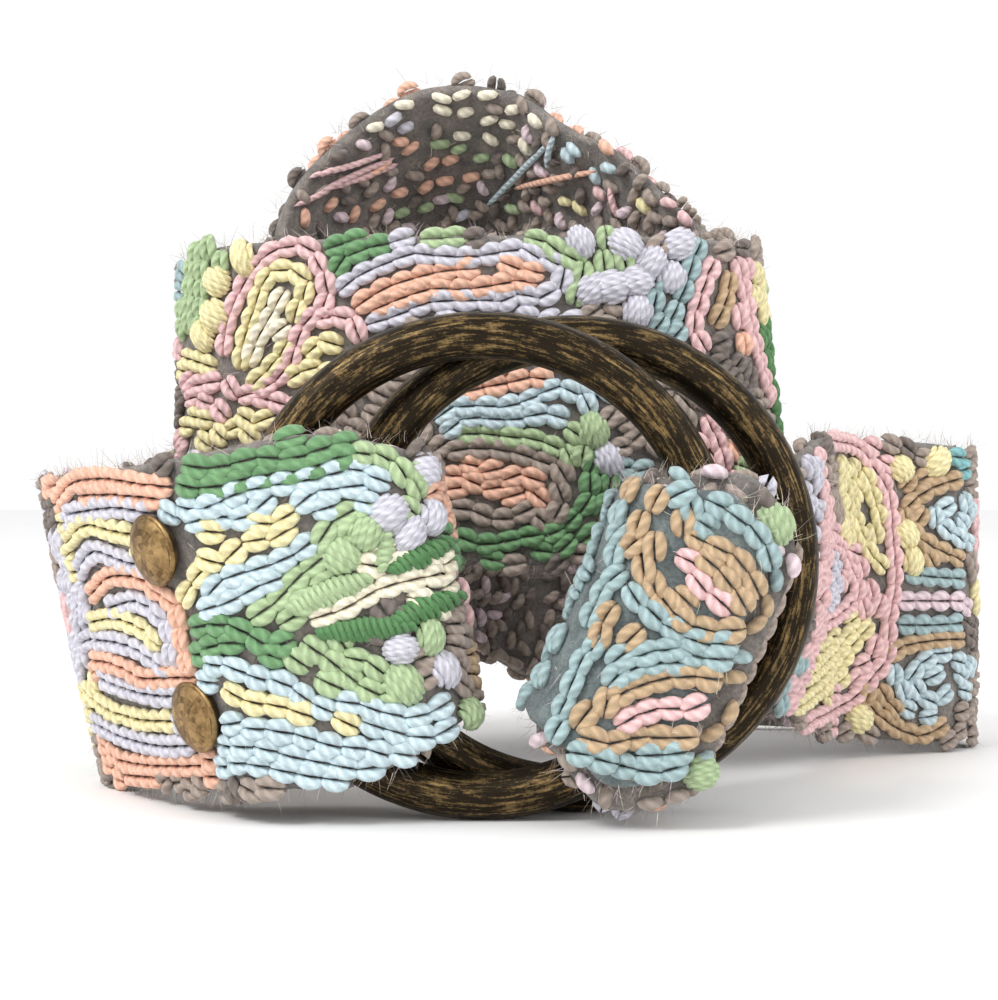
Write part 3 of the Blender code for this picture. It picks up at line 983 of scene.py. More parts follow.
ORNAMENT = (
    ("pink", "yellow", "cream"),
    ("slate", "tan", "pink"),
    ("pale_blue", "pale_green", "green"),
    ("salmon", "lavender", "yellow"),
    ("pale_green", "cream", "leaf_green"),
    ("lavender", "salmon", "pink"),
)
middle = 20 * MM
turn_by = 0
while middle < ROUTE.length:
    colours = ORNAMENT[turn_by % len(ORNAMENT)]
    lean = random.uniform(-0.5, 0.5)
    tall = random.uniform(20, 24) * MM
    broad = random.uniform(12, 16) * MM
    off = random.uniform(-3, 3) * MM
    for ring, yarn in enumerate(colours):
        size = ring * ROW_PITCH
        if broad - size > 2 * MM:
            lay_hidden(RIGHT, ellipse(middle, off, broad - size, tall - size, lean), yarn)
    stripe = middle + random.uniform(21, 24) * MM
    for step, yarn in enumerate((colours[1], colours[0], "wool")):
        across = np.linspace(-30, 30, 40) * MM
        bow = random.uniform(-3, 3) * MM
        path = np.stack(
            [stripe + step * ROW_PITCH + bow * np.cos(across / (22 * MM)), across], axis=1
        )
        lay_hidden(RIGHT, path, yarn)
    middle += random.uniform(40, 46) * MM
    turn_by += 1


def fill(face, spacing, choose):
    """Stitches on every spot that is still bare, scattered evenly."""
    count_s = int((face.end - face.start) / (spacing * 0.5))
    count_w = int(BELT_WIDTH / (spacing * 0.5))
    spots = [
        (
            face.start + (i + random.random()) * spacing * 0.5,
            -BELT_WIDTH / 2 + (j + random.random()) * spacing * 0.5,
        )
        for i in range(count_s)
        for j in range(count_w)
    ]
    random.shuffle(spots)
    for s, w in spots:
        if not face.inside(s, w, 0.9 * MM) or not face.free(s, w, spacing):
            continue
        if any(
            other is face and (s - a) ** 2 + (w - b) ** 2 < (3.0 * MM) ** 2
            for other, a, b, _ in BOBBLE_LIST
        ):
            continue
        heading, yarn = choose(face, s, w)
        face.add(s, w, heading, yarn)


def like_the_nearest(face, s, w):
    """The nearest row's yarn and heading, or plain wool further from the rows."""
    near = face.nearest(s, w, 5.5 * MM)
    edge = float(face.half(s)) - abs(w)
    if near is None or (face is RIGHT and edge < 3.2 * MM and random.random() < 0.6):
        heading = random.choice((0.0, math.pi)) + random.gauss(0, 0.5)
        if face is FACING:
            return heading, "slate"
        return heading, random.choice(("wool", "wool", "dark_wool"))
    return face.heading[near] + random.gauss(0, 0.25), face.yarn[near]


def grains(face, s, w):
    heading = random.uniform(-math.pi, math.pi)
    return heading, random.choice(("wool", "wool", "wool", "dark_wool", "lilac"))


for yarn, *points in DABS:
    for x, y in points:
        found = SIGHT.hit(x, y)
        if found is not None:
            found[0].add(found[1], found[2], random.uniform(-0.6, 0.6), yarn)
fill(RIGHT, CHAIN_SPACING, like_the_nearest)
fill(FACING, FACING_SPACING, like_the_nearest)
fill(WRONG, WRONG_SPACING, grains)


# Mesh making


def tube(path, radii, sides):
    """A closed tube along a path: points, quads, triangles and their texture coordinates."""
    path = np.array(path, dtype=float)
    radii = np.array(radii, dtype=float)
    tangent = np.gradient(path, axis=0)
    tangent /= np.linalg.norm(tangent, axis=1)[:, None]
    reference = np.array([0.0, 0.0, 1.0])
    side = np.cross(tangent, reference)
    side /= np.maximum(np.linalg.norm(side, axis=1), 1e-9)[:, None]
    rise = np.cross(side, tangent)
    angles = np.arange(sides) * 2 * math.pi / sides
    ring = side[:, None, :] * np.cos(angles)[None, :, None] + rise[:, None, :] * np.sin(angles)[
        None, :, None
    ]
    body = path[1:-1, None, :] + ring[1:-1] * radii[1:-1, None, None]
    points = np.vstack([path[:1], body.reshape(-1, 3), path[-1:]])
    count = len(path) - 2
    steps = np.linalg.norm(np.diff(path, axis=0), axis=1)
    far = np.concatenate([[0.0], np.cumsum(steps)]) / MM
    quads, quad_uv, tris, tri_uv = [], [], [], []
    for k in range(count - 1):
        for i in range(sides):
            j = (i + 1) % sides
            a = 1 + k * sides
            b = a + sides
            quads.append((a + i, b + i, b + j, a + j))
            u0, u1 = far[k + 1], far[k + 2]
            v0, v1 = i / sides, (i + 1) / sides
            quad_uv.append(((u0, v0), (u1, v0), (u1, v1), (u0, v1)))
    last = len(points) - 1
    for i in range(sides):
        j = (i + 1) % sides
        v0, v1 = i / sides, (i + 1) / sides
        tris.append((0, 1 + i, 1 + j))
        tri_uv.append(((far[0], v0), (far[1], v0), (far[1], v1)))
        end = 1 + (count - 1) * sides
        tris.append((last, end + j, end + i))
        tri_uv.append(((far[-1], v0), (far[-2], v1), (far[-2], v0)))
    return (
        points,
        np.array(quads).reshape(-1, 4),
        np.array(quad_uv, dtype=float).reshape(-1, 4, 2),
        np.array(tris),
        np.array(tri_uv, dtype=float),
    )


def join(shapes):
    """Several shapes as one."""
    points, quads, quad_uv, tris, tri_uv = [], [], [], [], []
    count = 0
    for shape in shapes:
        points.append(shape[0])
        quads.append(shape[1] + count)
        quad_uv.append(shape[2])
        tris.append(shape[3] + count)
        tri_uv.append(shape[4])
        count += len(shape[0])
    return tuple(np.concatenate(part) for part in (points, quads, quad_uv, tris, tri_uv))


def chain_stitch(rings, sides):
    """One chain stitch: two legs that part and close again, 1 wide and 1 long."""
    legs = []
    t = np.linspace(0, 1, rings)
    for side in (-1, 1):
        x = (-0.68 + 1.38 * t) * STITCH_PITCH
        y = side * (0.14 + 0.92 * np.sin(math.pi * np.clip(t * 0.95, 0, 1)) ** 0.8) * 1.12 * MM
        z = (-0.55 + 1.0 * np.sin(math.pi * t**0.85)) * MM
        radii = LEG_RADIUS * (0.35 + 0.65 * np.sin(math.pi * t) ** 0.6)
        legs.append(tube(np.stack([x, y, z], axis=1), radii, sides))
    return join(legs)


def grain(rings, sides):
    """One short bump of yarn, as the wrong side shows."""
    t = np.linspace(0, 1, rings)
    x = (-0.5 + t) * 4.6 * MM
    y = 0.5 * MM * np.sin(math.pi * t)
    z = (-0.6 + 1.05 * np.sin(math.pi * t)) * MM
    radii = 1.2 * MM * (0.35 + 0.65 * np.sin(math.pi * t) ** 0.6)
    return tube(np.stack([x, y, z], axis=1), radii, sides)


def bobble(strands, rings, sides):
    """A bobble: strands laid side by side over a low dome."""
    shapes = []
    for k in range(strands):
        across = (k - (strands - 1) / 2) / (strands / 2)
        wide = math.sqrt(max(0.05, 1 - across**2))
        t = np.linspace(0, 1, rings)
        x = 3.4 * MM * wide * -np.cos(math.pi * t)
        y = across * 2.7 * MM + 0.0 * t
        z = (-1.1 + 3.1 * wide * np.sin(math.pi * t)) * MM
        radii = 0.8 * MM * (0.4 + 0.6 * np.sin(math.pi * t) ** 0.5)
        shapes.append(tube(np.stack([x, y, z], axis=1), radii, sides))
    return join(shapes)


def scatter(template, where, ahead, aside, above, scale):
    """Copies of a template at many places, each turned to its own three directions."""
    points, quads, quad_uv, tris, tri_uv = template
    count = len(where)
    local = points[None, :, :] * scale[:, None, :]
    placed = (
        where[:, None, :]
        + local[..., 0:1] * ahead[:, None, :]
        + local[..., 1:2] * aside[:, None, :]
        + local[..., 2:3] * above[:, None, :]
    )
    offsets = np.arange(count)[:, None, None] * len(points)
    all_quads = (quads[None] + offsets).reshape(-1, 4)
    all_tris = (tris[None] + offsets).reshape(-1, 3)
    shift = RNG.uniform(0, 8, (count, 1, 1))
    uv_quads = np.repeat(quad_uv[None], count, axis=0)
    uv_quads[..., 0] += shift
    uv_tris = np.repeat(tri_uv[None], count, axis=0)
    uv_tris[..., 0] += shift
    return (
        placed.reshape(-1, 3),
        all_quads,
        uv_quads.reshape(-1, 4, 2),
        all_tris,
        uv_tris.reshape(-1, 3, 2),
    )


def make_piece(name, shape, materials, quad_materials=None, tri_materials=None):
    """A smooth mesh object that rides with the belt."""
    points, quads, quad_uv, tris, tri_uv = shape
    points = points.copy()
    points[:, 2] = np.maximum(points[:, 2], FLOOR_LEVEL)
    mesh = bpy.data.meshes.new(name)
    mesh.vertices.add(len(points))
    mesh.vertices.foreach_set("co", np.ascontiguousarray(points, dtype=np.float32).ravel())
    mesh.loops.add(len(quads) * 4 + len(tris) * 3)
    corners = np.concatenate([quads.ravel(), tris.ravel()]).astype(np.int32)
    mesh.loops.foreach_set("vertex_index", corners)
    mesh.polygons.add(len(quads) + len(tris))
    starts = np.concatenate(
        [np.arange(len(quads)) * 4, len(quads) * 4 + np.arange(len(tris)) * 3]
    ).astype(np.int32)
    mesh.polygons.foreach_set("loop_start", starts)
    layer = mesh.uv_layers.new(name="yarn")
    uv = np.concatenate([quad_uv.reshape(-1, 2), tri_uv.reshape(-1, 2)]).astype(np.float32)
    layer.data.foreach_set("uv", uv.ravel())
    for material in materials:
        mesh.materials.append(material)
    if quad_materials is not None:
        index = np.concatenate([quad_materials, tri_materials]).astype(np.int32)
        mesh.polygons.foreach_set("material_index", index)
    mesh.polygons.foreach_set("use_smooth", np.ones(len(mesh.polygons), dtype=bool))
    mesh.update(calc_edges=True)
    mesh.validate()
    made = bpy.data.objects.new(name, mesh)
    bpy.context.scene.collection.objects.link(made)
    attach(made, "root")
    return made


# Materials


def node(tree, kind, **inputs):
    made = tree.nodes.new(kind)
    for name, value in inputs.items():
        made.inputs[name.replace("_", " ")].default_value = value
    return made


def math_node(tree, operation, first, second):
    made = tree.nodes.new("ShaderNodeMath")
    made.operation = operation
    for i, value in enumerate((first, second)):
        if value is None:
            continue
        if isinstance(value, (int, float)):
            made.inputs[i].default_value = value
        else:
            tree.links.new(value, made.inputs[i])
    return made.outputs[0]


def yarn_material(name, colour, fuzzy=0.35):
    """Two-ply twisted yarn: plies with painted shade in the grooves between them, fibres and tone
    that differs from stitch to stitch.
    """
    material = bpy.data.materials.new(name)
    material.use_nodes = True
    tree = material.node_tree
    shader = tree.nodes["Principled BSDF"]
    shader.inputs["Roughness"].default_value = 0.88
    shader.inputs["Specular IOR Level"].default_value = 0.25
    shader.inputs["Sheen Weight"].default_value = fuzzy
    shader.inputs["Sheen Roughness"].default_value = 0.5
    shader.inputs["Sheen Tint"].default_value = (*(0.5 + 0.5 * c for c in linear(colour)), 1)
    place = tree.nodes.new("ShaderNodeUVMap")
    place.uv_map = "yarn"
    parts = tree.nodes.new("ShaderNodeSeparateXYZ")
    tree.links.new(place.outputs[0], parts.inputs[0])
    # The ply wave: twist stripes that shape the bump and also darken the colour in the grooves
    # between the plies, which is painted shade
    turns = math_node(tree, "MULTIPLY", parts.outputs[1], 4 * math.pi)
    travel = math_node(tree, "MULTIPLY", parts.outputs[0], 3.3)
    ply_groove_wave = math_node(tree, "SINE", math_node(tree, "ADD", turns, travel), None)
    ply = math_node(tree, "MULTIPLY_ADD", ply_groove_wave, 0.5)
    ply.node.inputs[2].default_value = 0.5
    spot = tree.nodes.new("ShaderNodeTexCoord")
    fibres = node(tree, "ShaderNodeTexNoise", Scale=2600.0, Detail=3.0, Roughness=0.65)
    tree.links.new(spot.outputs["Object"], fibres.inputs["Vector"])
    patches = node(tree, "ShaderNodeTexNoise", Scale=160.0, Detail=2.0)
    tree.links.new(spot.outputs["Object"], patches.inputs["Vector"])
    island = tree.nodes.new("ShaderNodeNewGeometry")
    # Colour value: painted shade in the ply grooves, plus fibre noise, a random tone per stitch and
    # tone in broad patches
    shade = math_node(tree, "MULTIPLY_ADD", ply, 0.30)
    shade.node.inputs[2].default_value = 0.62
    shade = math_node(
        tree, "ADD", shade, math_node(tree, "MULTIPLY", fibres.outputs["Fac"], 0.30)
    )
    shade = math_node(
        tree,
        "ADD",
        shade,
        math_node(tree, "MULTIPLY", island.outputs["Random Per Island"], 0.14),
    )
    shade = math_node(
        tree, "ADD", shade, math_node(tree, "MULTIPLY", patches.outputs["Fac"], 0.12)
    )
    tint = tree.nodes.new("ShaderNodeHueSaturation")
    tint.inputs["Color"].default_value = (*linear(colour), 1)
    tree.links.new(shade, tint.inputs["Value"])
    tree.links.new(tint.outputs[0], shader.inputs["Base Color"])
    relief = math_node(
        tree, "ADD", ply, math_node(tree, "MULTIPLY", fibres.outputs["Fac"], 0.9)
    )
    bump = node(tree, "ShaderNodeBump", Strength=0.75, Distance=0.00035)
    tree.links.new(relief, bump.inputs["Height"])
    tree.links.new(bump.outputs[0], shader.inputs["Normal"])
    return material


def felt_material(name, dark, light):
    """The wool under the stitches: a fuzzy ground of two greys."""
    material = bpy.data.materials.new(name)
    material.use_nodes = True
    tree = material.node_tree
    shader = tree.nodes["Principled BSDF"]
    shader.inputs["Roughness"].default_value = 0.95
    shader.inputs["Sheen Weight"].default_value = 0.2
    spot = tree.nodes.new("ShaderNodeTexCoord")
    fine = node(tree, "ShaderNodeTexNoise", Scale=1400.0, Detail=5.0, Roughness=0.7)
    coarse = node(tree, "ShaderNodeTexNoise", Scale=240.0, Detail=3.0)
    for texture in (fine, coarse):
        tree.links.new(spot.outputs["Object"], texture.inputs["Vector"])
    both = math_node(tree, "MULTIPLY", fine.outputs["Fac"], coarse.outputs["Fac"])
    ramp = tree.nodes.new("ShaderNodeValToRGB")
    ramp.color_ramp.elements[0].position = 0.12
    ramp.color_ramp.elements[0].color = (*linear(dark), 1)
    ramp.color_ramp.elements[1].position = 0.42
    ramp.color_ramp.elements[1].color = (*linear(light), 1)
    tree.links.new(both, ramp.inputs[0])
    tree.links.new(ramp.outputs[0], shader.inputs["Base Color"])
    bump = node(tree, "ShaderNodeBump", Strength=0.9, Distance=0.0006)
    tree.links.new(fine.outputs["Fac"], bump.inputs["Height"])
    tree.links.new(bump.outputs[0], shader.inputs["Normal"])
    return material


def brass_material(name, patina, worn, amount):
    """Aged brass: a dark patina, rubbed through in streaks along the piece."""
    material = bpy.data.materials.new(name)
    material.use_nodes = True
    tree = material.node_tree
    shader = tree.nodes["Principled BSDF"]
    shader.inputs["Metallic"].default_value = 1.0
    place = tree.nodes.new("ShaderNodeUVMap")
    place.uv_map = "yarn"
    stretch = tree.nodes.new("ShaderNodeMapping")
    stretch.inputs["Scale"].default_value = (0.11, 24.0, 1.0)
    tree.links.new(place.outputs[0], stretch.inputs[0])
    streaks = node(tree, "ShaderNodeTexNoise", Scale=1.6, Detail=6.0, Roughness=0.72)
    tree.links.new(stretch.outputs[0], streaks.inputs["Vector"])
    spot = tree.nodes.new("ShaderNodeTexCoord")
    patches = node(tree, "ShaderNodeTexNoise", Scale=210.0, Detail=4.0, Roughness=0.6)
    flecks = node(tree, "ShaderNodeTexNoise", Scale=1900.0, Detail=3.0, Roughness=0.7)
    for texture in (patches, flecks):
        tree.links.new(spot.outputs["Object"], texture.inputs["Vector"])
    mixed = math_node(
        tree,
        "ADD",
        math_node(tree, "MULTIPLY", streaks.outputs["Fac"], 0.62),
        math_node(tree, "MULTIPLY", patches.outputs["Fac"], 0.22),
    )
    mixed = math_node(
        tree, "ADD", mixed, math_node(tree, "MULTIPLY", flecks.outputs["Fac"], 0.16)
    )
    ramp = tree.nodes.new("ShaderNodeValToRGB")
    ramp.color_ramp.elements[0].position = amount
    ramp.color_ramp.elements[0].color = (*linear(patina), 1)
    ramp.color_ramp.elements[1].position = amount + 0.17
    ramp.color_ramp.elements[1].color = (*linear(worn), 1)
    tree.links.new(mixed, ramp.inputs[0])
    tree.links.new(ramp.outputs[0], shader.inputs["Base Color"])
    rough = math_node(tree, "MULTIPLY_ADD", flecks.outputs["Fac"], 0.35)
    rough.node.inputs[2].default_value = 0.26
    tree.links.new(rough, shader.inputs["Roughness"])
    bump = node(tree, "ShaderNodeBump", Strength=0.35, Distance=0.00015)
    tree.links.new(mixed, bump.inputs["Height"])
    tree.links.new(bump.outputs[0], shader.inputs["Normal"])
    return material


YARN_MATERIALS = [yarn_material(f"yarn_{name}", YARNS[name]) for name in YARN_NAMES]
WOOL_GROUND = felt_material("wool_ground", (88, 86, 84), (156, 146, 138))
SLATE_GROUND = felt_material("slate_ground", (74, 84, 86), (136, 148, 148))
RING_BRASS = brass_material("ring_brass", (44, 38, 30), (176, 146, 98), 0.50)
RIVET_BRASS = brass_material("rivet_brass", (104, 82, 54), (188, 156, 108), 0.44)


# Cores of the strap and its facing


def core(name, middle, thickness, face, material):
    """A closed band a little thinner than the yarn work on it, with rounded edges."""
    inner = np.arange(face.start + CORE_STEP, face.end, CORE_STEP)
    s = np.concatenate([[face.start + CORE_INSET], inner])
    s = s[s < face.end - CORE_INSET]
    half = face.half(s) - 0.7 * MM
    shares = np.linspace(-0.97, 0.97, 17)
    profile = [(share, 1.0) for share in shares] + [(1.0, 0.0)]
    profile += [(share, -1.0) for share in shares[::-1]] + [(-1.0, 0.0)]
    rings = []
    for share, level in profile:
        place, out, up, _, width = ROUTE.read(s)
        w = share * half
        height = middle + level * thickness / 2 - EDGE_CURL * (2 * w / width) ** 2
        rings.append(place + up * w[:, None] + out * height[:, None])
    grid = np.stack(rings, axis=1)
    count, around = grid.shape[:2]
    noise = RNG.normal(0, 0.06 * MM, grid.shape[:2])
    grid = grid + noise[..., None] * ROUTE.read(s)[1][:, None, :]
    points = grid.reshape(-1, 3)
    i = np.arange(count - 1)[:, None] * around
    j = np.arange(around)[None, :]
    k = (j + 1) % around
    quads = np.stack([i + j, i + k, i + around + k, i + around + j], axis=-1).reshape(-1, 4)
    uv = np.zeros((len(quads), 4, 2))
    ends = []
    for row in (0, count - 1):
        middle_point = len(points)
        points = np.vstack([points, grid[row].mean(axis=0)[None]])
        for a in range(around):
            b = (a + 1) % around
            pair = (row * around + a, row * around + b)
            ends.append((middle_point, *(pair[::-1] if row == 0 else pair)))
    tris = np.array(ends)
    return make_piece(name, (points, quads, uv, tris, np.zeros((len(tris), 3, 2))), [material])


strap_core = core("strap_core", 0.0, CORE_THICKNESS, RIGHT, WOOL_GROUND)
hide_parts("strap")
facing_core = core("facing_core", -FACING_MIDDLE, FACING_CORE_THICKNESS, FACING, SLATE_GROUND)
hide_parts("end_facing")


# Yarn work


def yarn_work(name, face, chosen, template, lift):
    """The chosen stitches of a face as one piece."""
    s, w, heading = (np.array(column)[chosen] for column in (face.s, face.w, face.heading))
    where, normal, along, up = face.point(s, w, lift)
    ahead = along * np.cos(heading)[:, None] + up * np.sin(heading)[:, None]
    aside = np.cross(normal, ahead)
    scale = RNG.uniform(0.92, 1.08, (len(s), 3))
    where = where + normal * RNG.normal(0, 0.10 * MM, len(s))[:, None]
    shape = scatter(template, where, ahead, aside, normal, scale)
    yarn = np.array([YARN_NAMES.index(face.yarn[k]) for k in chosen])
    quads, tris = len(template[1]), len(template[3])
    made = make_piece(
        name, shape, YARN_MATERIALS, np.repeat(yarn, quads), np.repeat(yarn, tris)
    )
    return made


FINE_CHAIN = chain_stitch(8, 6)
PLAIN_CHAIN = chain_stitch(6, 5)
FINE_GRAIN = grain(7, 6)
PLAIN_GRAIN = grain(6, 5)
worked = []


def by_stretch(face, title, fine, plain, parts, lift):
    """All of a face's stitches, fine where the camera sees them, in a few pieces."""
    shown = np.array([seen(face, s, w) for s, w in zip(face.s, face.w)])
    bounds = np.linspace(face.start, face.end + MM, parts + 1)
    for part in range(parts):
        here = (np.array(face.s) >= bounds[part]) & (np.array(face.s) < bounds[part + 1])
        for detail, template, wanted in (("front", fine, shown), ("hidden", plain, ~shown)):
            chosen = np.nonzero(here & wanted)[0]
            if len(chosen):
                name = f"{title}_{part + 1}_{detail}"
                worked.append(yarn_work(name, face, chosen, template, lift))


by_stretch(RIGHT, "chain", FINE_CHAIN, PLAIN_CHAIN, 6, 0.45 * MM)
by_stretch(WRONG, "wrong_side", FINE_GRAIN, PLAIN_GRAIN, 4, 0.30 * MM)
by_stretch(FACING, "facing_chain", FINE_CHAIN, PLAIN_CHAIN, 1, 0.40 * MM)

# Bobbles

template = bobble(6, 8, 6)
for face in FACES:
    chosen = [row for row in BOBBLE_LIST if row[0] is face]
    if not chosen:
        continue
    s = np.array([row[1] for row in chosen])
    w = np.array([row[2] for row in chosen])
    turn = RNG.uniform(-math.pi, math.pi, len(chosen))
    where, normal, along, up = face.point(s, w, 0.6 * MM)
    ahead = along * np.cos(turn)[:, None] + up * np.sin(turn)[:, None]
    shape = scatter(
        template, where, ahead, np.cross(normal, ahead), normal, RNG.uniform(0.85, 1.1, (len(s), 3))
    )
    yarn = np.array([YARN_NAMES.index(row[3]) for row in chosen])
    made = make_piece(
        f"bobbles_{face.name}",
        shape,
        YARN_MATERIALS,
        np.repeat(yarn, len(template[1])),
        np.repeat(yarn, len(template[3])),
    )
    worked.append(made)


def strand(face, points, radius, lift, arch):
    """A single strand over a face through (s, w) points, raised in its middle."""
    s, w = np.array(points).T
    t = np.linspace(0, 1, len(s))
    rise = lift + arch * np.sin(math.pi * t)
    where = face.point(s, w, rise)[0]
    radii = radius * (0.4 + 0.6 * np.sin(math.pi * np.clip(t, 0.02, 0.98)) ** 0.4)
    return tube(where, radii, 6)


def strands_piece(name, rows):
    """Strands, each a shape and its yarn, as one piece."""
    shape = join([row[0] for row in rows])
    quads = np.concatenate([np.full(len(s[1]), YARN_NAMES.index(y)) for s, y in rows])
    tris = np.concatenate([np.full(len(s[3]), YARN_NAMES.index(y)) for s, y in rows])
    made = make_piece(name, shape, YARN_MATERIALS, quads, tris)
    worked.append(made)


# Satin leaves: strands side by side across each axis

leaf_strands = []
for yarn, start, end, half_width in LEAVES:
    a, b = np.array(start, dtype=float), np.array(end, dtype=float)
    length = np.linalg.norm(b - a)
    ahead = (b - a) / length
    square = np.array([-ahead[1], ahead[0]])
    count = int(length / 6.5)
    for k in range(count + 1):
        t = k / count
        reach = half_width * math.sin(math.pi * (0.08 + 0.84 * t)) ** 0.7
        middle = a + (b - a) * t
        ends = [SIGHT.hit(*(middle + square * side * reach + ahead * 5 * side)) for side in (-1, 1)]
        if any(e is None or e[0] is not RIGHT for e in ends):
            continue
        (_, s0, w0), (_, s1, w1) = ends
        if abs(s0 - s1) + abs(w0 - w1) > 14 * MM:
            continue
        path = [(s0 + (s1 - s0) * q, w0 + (w1 - w0) * q) for q in np.linspace(0, 1, 8)]
        leaf_strands.append((strand(RIGHT, path, 0.75 * MM, 0.5 * MM, 1.3 * MM), yarn))
strands_piece("satin_leaves", leaf_strands)

float_strands = []
for yarn, *points in STRANDS:
    for face, path in runs_of(points):
        if len(path) > 4:
            path = path[:: max(1, len(path) // 14)]
            float_strands.append((strand(face, path, 0.75 * MM, 0.9 * MM, 0.5 * MM), yarn))
strands_piece("loose_strands", float_strands)

# Fuzz: loose fibres that stand off the yarn


def fuzz(name, count, yarns):
    """Short curved fibres, more of them along the edges."""
    points, quads, index = [], [], []
    for _ in range(count):
        face = random.choices((RIGHT, WRONG, FACING), (5, 4, 0.5))[0]
        s = random.uniform(face.start + MM, face.end - MM)
        half = float(face.half(s))
        at_edge = random.random() < 0.42
        w = random.choice((-1, 1)) * half * random.uniform(0.93, 1.0) if at_edge else 0.0
        if not at_edge:
            w = random.uniform(-0.95, 0.95) * half
        where, normal, along, up = face.point(s, w, random.uniform(0.0, 0.8) * MM)
        spread = along * random.gauss(0, 0.9) + up * random.gauss(0, 0.9)
        if at_edge:
            spread = along * random.gauss(0, 0.8) + up * math.copysign(random.uniform(0.4, 1.6), w)
        direction = normal * random.uniform(0.05 if at_edge else 0.3, 0.9) + spread
        direction /= np.linalg.norm(direction)
        long = random.uniform(1.4, 3.6) * MM
        bend = RNG.normal(0, 0.45, 3)
        across = np.cross(direction, RNG.normal(0, 1, 3))
        across = across / np.linalg.norm(across) * random.uniform(0.03, 0.055) * MM
        shade = random.randrange(len(yarns))
        first = len(points)
        for k in range(4):
            t = k / 3
            middle = where + direction * long * t + bend * long * 0.45 * t**2
            thin = across * (1 - 0.7 * t)
            points += [middle - thin, middle + thin]
        for k in range(3):
            a = first + 2 * k
            quads.append((a, a + 1, a + 3, a + 2))
            index.append(shade)
    shape = (
        np.array(points),
        np.array(quads),
        np.zeros((len(quads), 4, 2)),
        np.zeros((0, 3), dtype=int),
        np.zeros((0, 3, 2)),
    )
    materials = [YARN_MATERIALS[YARN_NAMES.index(yarn)] for yarn in yarns]
    made = make_piece(name, shape, materials, np.array(index), np.zeros(0))
    worked.append(made)


fuzz("fuzz", FIBRE_COUNT, ("wool", "lilac", "wool", "cream", "dark_wool"))

# Rings and rivets


def ring_metal(name, node_name, middle, turn):
    """A round-wire ring, brushed along its wire, with slight unevenness."""
    middle = middle + SHIFT
    steps, sides = 220, 32
    a = np.arange(steps)[:, None] * 2 * math.pi / steps
    b = np.arange(sides)[None, :] * 2 * math.pi / sides
    wobble = 0.03 * MM * np.sin(5 * a + 1) + 0.02 * MM * np.sin(13 * a)
    wire = WIRE_RADIUS - 0.03 * MM + wobble * 0.5
    x = (RING_RADIUS + wire * np.cos(b)) * np.cos(a)
    z = (RING_RADIUS + wire * np.cos(b)) * np.sin(a)
    y = wire * np.sin(b) + 0 * a
    xr = x * math.cos(turn) - y * math.sin(turn)
    yr = x * math.sin(turn) + y * math.cos(turn)
    points = np.stack([xr + middle.x, yr + middle.y, z + middle.z], axis=-1).reshape(-1, 3)
    i, j = np.meshgrid(np.arange(steps), np.arange(sides), indexing="ij")
    i2, j2 = (i + 1) % steps, (j + 1) % sides
    quads = np.stack(
        [i * sides + j, i * sides + j2, i2 * sides + j2, i2 * sides + j], axis=-1
    ).reshape(-1, 4)
    u = RING_RADIUS / MM * 2 * math.pi / steps
    v = 1 / sides
    uv = np.stack(
        [
            np.stack([i * u, j * v], -1),
            np.stack([i * u, (j + 1) * v], -1),
            np.stack([(i + 1) * u, (j + 1) * v], -1),
            np.stack([(i + 1) * u, j * v], -1),
        ],
        axis=2,
    ).reshape(-1, 4, 2)
    shape = (points, quads, uv, np.zeros((0, 3), dtype=int), np.zeros((0, 3, 2)))
    made = make_piece(name, shape, [RING_BRASS])
    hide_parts(node_name)


ring_metal("ring_front_metal", "ring_front", FRONT_RING, 0.0)
ring_metal("ring_back_metal", "ring_back", BACK_RING, RING_TURN)


def rivet_metal(name, node_name, side):
    """A domed rivet head with a rolled rim."""
    place, out, up, along, _ = ROUTE.read(ROUTE.rivets)
    place = place + up * side * RIVET_SPACING / 2
    radius = RIVET_HEAD_DIAMETER / 2
    profile = [(1.0, 0.0), (1.03, 0.18), (0.98, 0.34), (0.93, 0.36), (0.90, 0.42)]
    profile += [(0.82, 0.62), (0.68, 0.80), (0.5, 0.92), (0.3, 0.98), (0.12, 1.0)]
    steps = 64
    rows = []
    for share, level in profile:
        angle = np.arange(steps) * 2 * math.pi / steps
        flat = along[None] * np.cos(angle)[:, None] + up[None] * np.sin(angle)[:, None]
        height = BELT_THICKNESS / 2 + 2 * CLEARANCE + level * RIVET_HEAD_HEIGHT
        rows.append(place + flat * radius * share + out * height)
    height = BELT_THICKNESS / 2 + 2 * CLEARANCE
    rows.insert(0, place + (rows[0] - (place + out * height)) * 0.8 + out * (height - 1.4 * MM))
    grid = np.stack(rows, axis=0)
    top = place + out * (height + RIVET_HEAD_HEIGHT * 1.005)
    foot = place + out * (height - 1.4 * MM)
    points = np.vstack([grid.reshape(-1, 3), top[None], foot[None]])
    count = len(rows)
    i, j = np.meshgrid(np.arange(count - 1), np.arange(steps), indexing="ij")
    j2 = (j + 1) % steps
    quads = np.stack(
        [i * steps + j, i * steps + j2, (i + 1) * steps + j2, (i + 1) * steps + j], axis=-1
    ).reshape(-1, 4)
    uv = np.zeros((len(quads), 4, 2))
    uv[..., 0] = np.repeat(np.tile(np.arange(steps), count - 1)[:, None], 4, axis=1) * 0.6
    uv[..., 1] = np.repeat(np.repeat(np.arange(count - 1), steps)[:, None], 4, axis=1) / count
    last = (count - 1) * steps
    tris = [(last + k, last + (k + 1) % steps, count * steps) for k in range(steps)]
    tris += [((k + 1) % steps, k, count * steps + 1) for k in range(steps)]
    shape = (points, quads, uv, np.array(tris), np.zeros((len(tris), 3, 2)))
    made = make_piece(name, shape, [RIVET_BRASS])
    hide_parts(node_name)


rivet_metal("rivet_upper_metal", "rivet_upper", 1)
rivet_metal("rivet_lower_metal", "rivet_lower", -1)

# Camera, floor and light

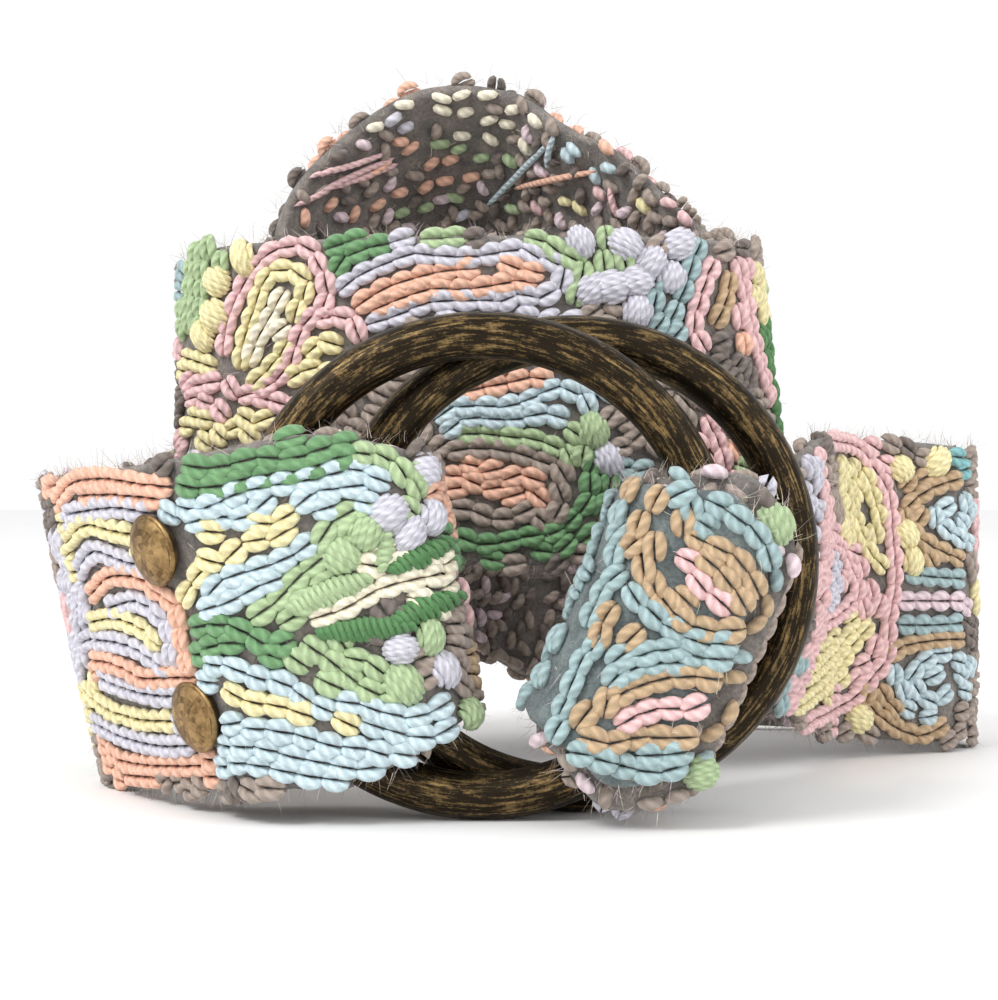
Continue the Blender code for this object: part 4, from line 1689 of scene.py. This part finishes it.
camera_data = bpy.data.cameras.new("camera")
camera = bpy.data.objects.new("camera", camera_data)
bpy.context.scene.collection.objects.link(camera)
camera.location = CAMERA_PLACE
camera.rotation_euler = (math.pi / 2, 0, 0)
camera_data.lens = SENSOR * FOCAL_PIXELS / PHOTO_HEIGHT
camera_data.sensor_width = SENSOR
camera_data.shift_x = (PHOTO_WIDTH / 2 - MIDDLE_COLUMN) / PHOTO_HEIGHT
camera_data.shift_y = -(PHOTO_HEIGHT / 2 - HORIZON_ROW) / PHOTO_HEIGHT
camera_data.clip_start = 0.01
bpy.context.scene.camera = camera


def floor_piece():
    """A wide round floor."""
    mesh = bpy.data.meshes.new("floor")
    steps = 64
    rim = [
        (4 * math.cos(k * 2 * math.pi / steps), 4 * math.sin(k * 2 * math.pi / steps), 0.0)
        for k in range(steps)
    ]
    mesh.from_pydata(rim, [], [list(range(steps))])
    made = bpy.data.objects.new("floor", mesh)
    bpy.context.scene.collection.objects.link(made)
    material = bpy.data.materials.new("floor")
    material.use_nodes = True
    tree = material.node_tree
    shader = tree.nodes["Principled BSDF"]
    shader.inputs["Roughness"].default_value = 0.7
    grey = node(tree, "ShaderNodeTexNoise", Scale=30.0, Detail=2.0)
    ramp = tree.nodes.new("ShaderNodeValToRGB")
    ramp.color_ramp.elements[0].color = (0.90, 0.90, 0.90, 1)
    ramp.color_ramp.elements[1].color = (0.93, 0.93, 0.93, 1)
    tree.links.new(grey.outputs["Fac"], ramp.inputs[0])
    tree.links.new(ramp.outputs[0], shader.inputs["Base Color"])
    mesh.materials.append(material)


floor_piece()


def area_light(name, place, target, size, power):
    data = bpy.data.lights.new(name, "AREA")
    data.shape = "DISK"
    data.size = size
    data.energy = power
    made = bpy.data.objects.new(name, data)
    bpy.context.scene.collection.objects.link(made)
    made.location = place
    made.rotation_euler = (Vector(target) - Vector(place)).to_track_quat("-Z", "Y").to_euler()


area_light("key", (-0.9, -0.9, 1.3), (0, 0, 0.05), 0.7, 16.0)
area_light("fill", (1.2, -1.0, 0.9), (0, 0, 0.05), 1.0, 6.0)
world = bpy.data.worlds.new("studio")
bpy.context.scene.world = world
world.use_nodes = True
world.node_tree.nodes["Background"].inputs[0].default_value = (1.0, 1.0, 1.0, 1)
world.node_tree.nodes["Background"].inputs[1].default_value = 1.0
bpy.context.scene.view_settings.view_transform = "Standard"
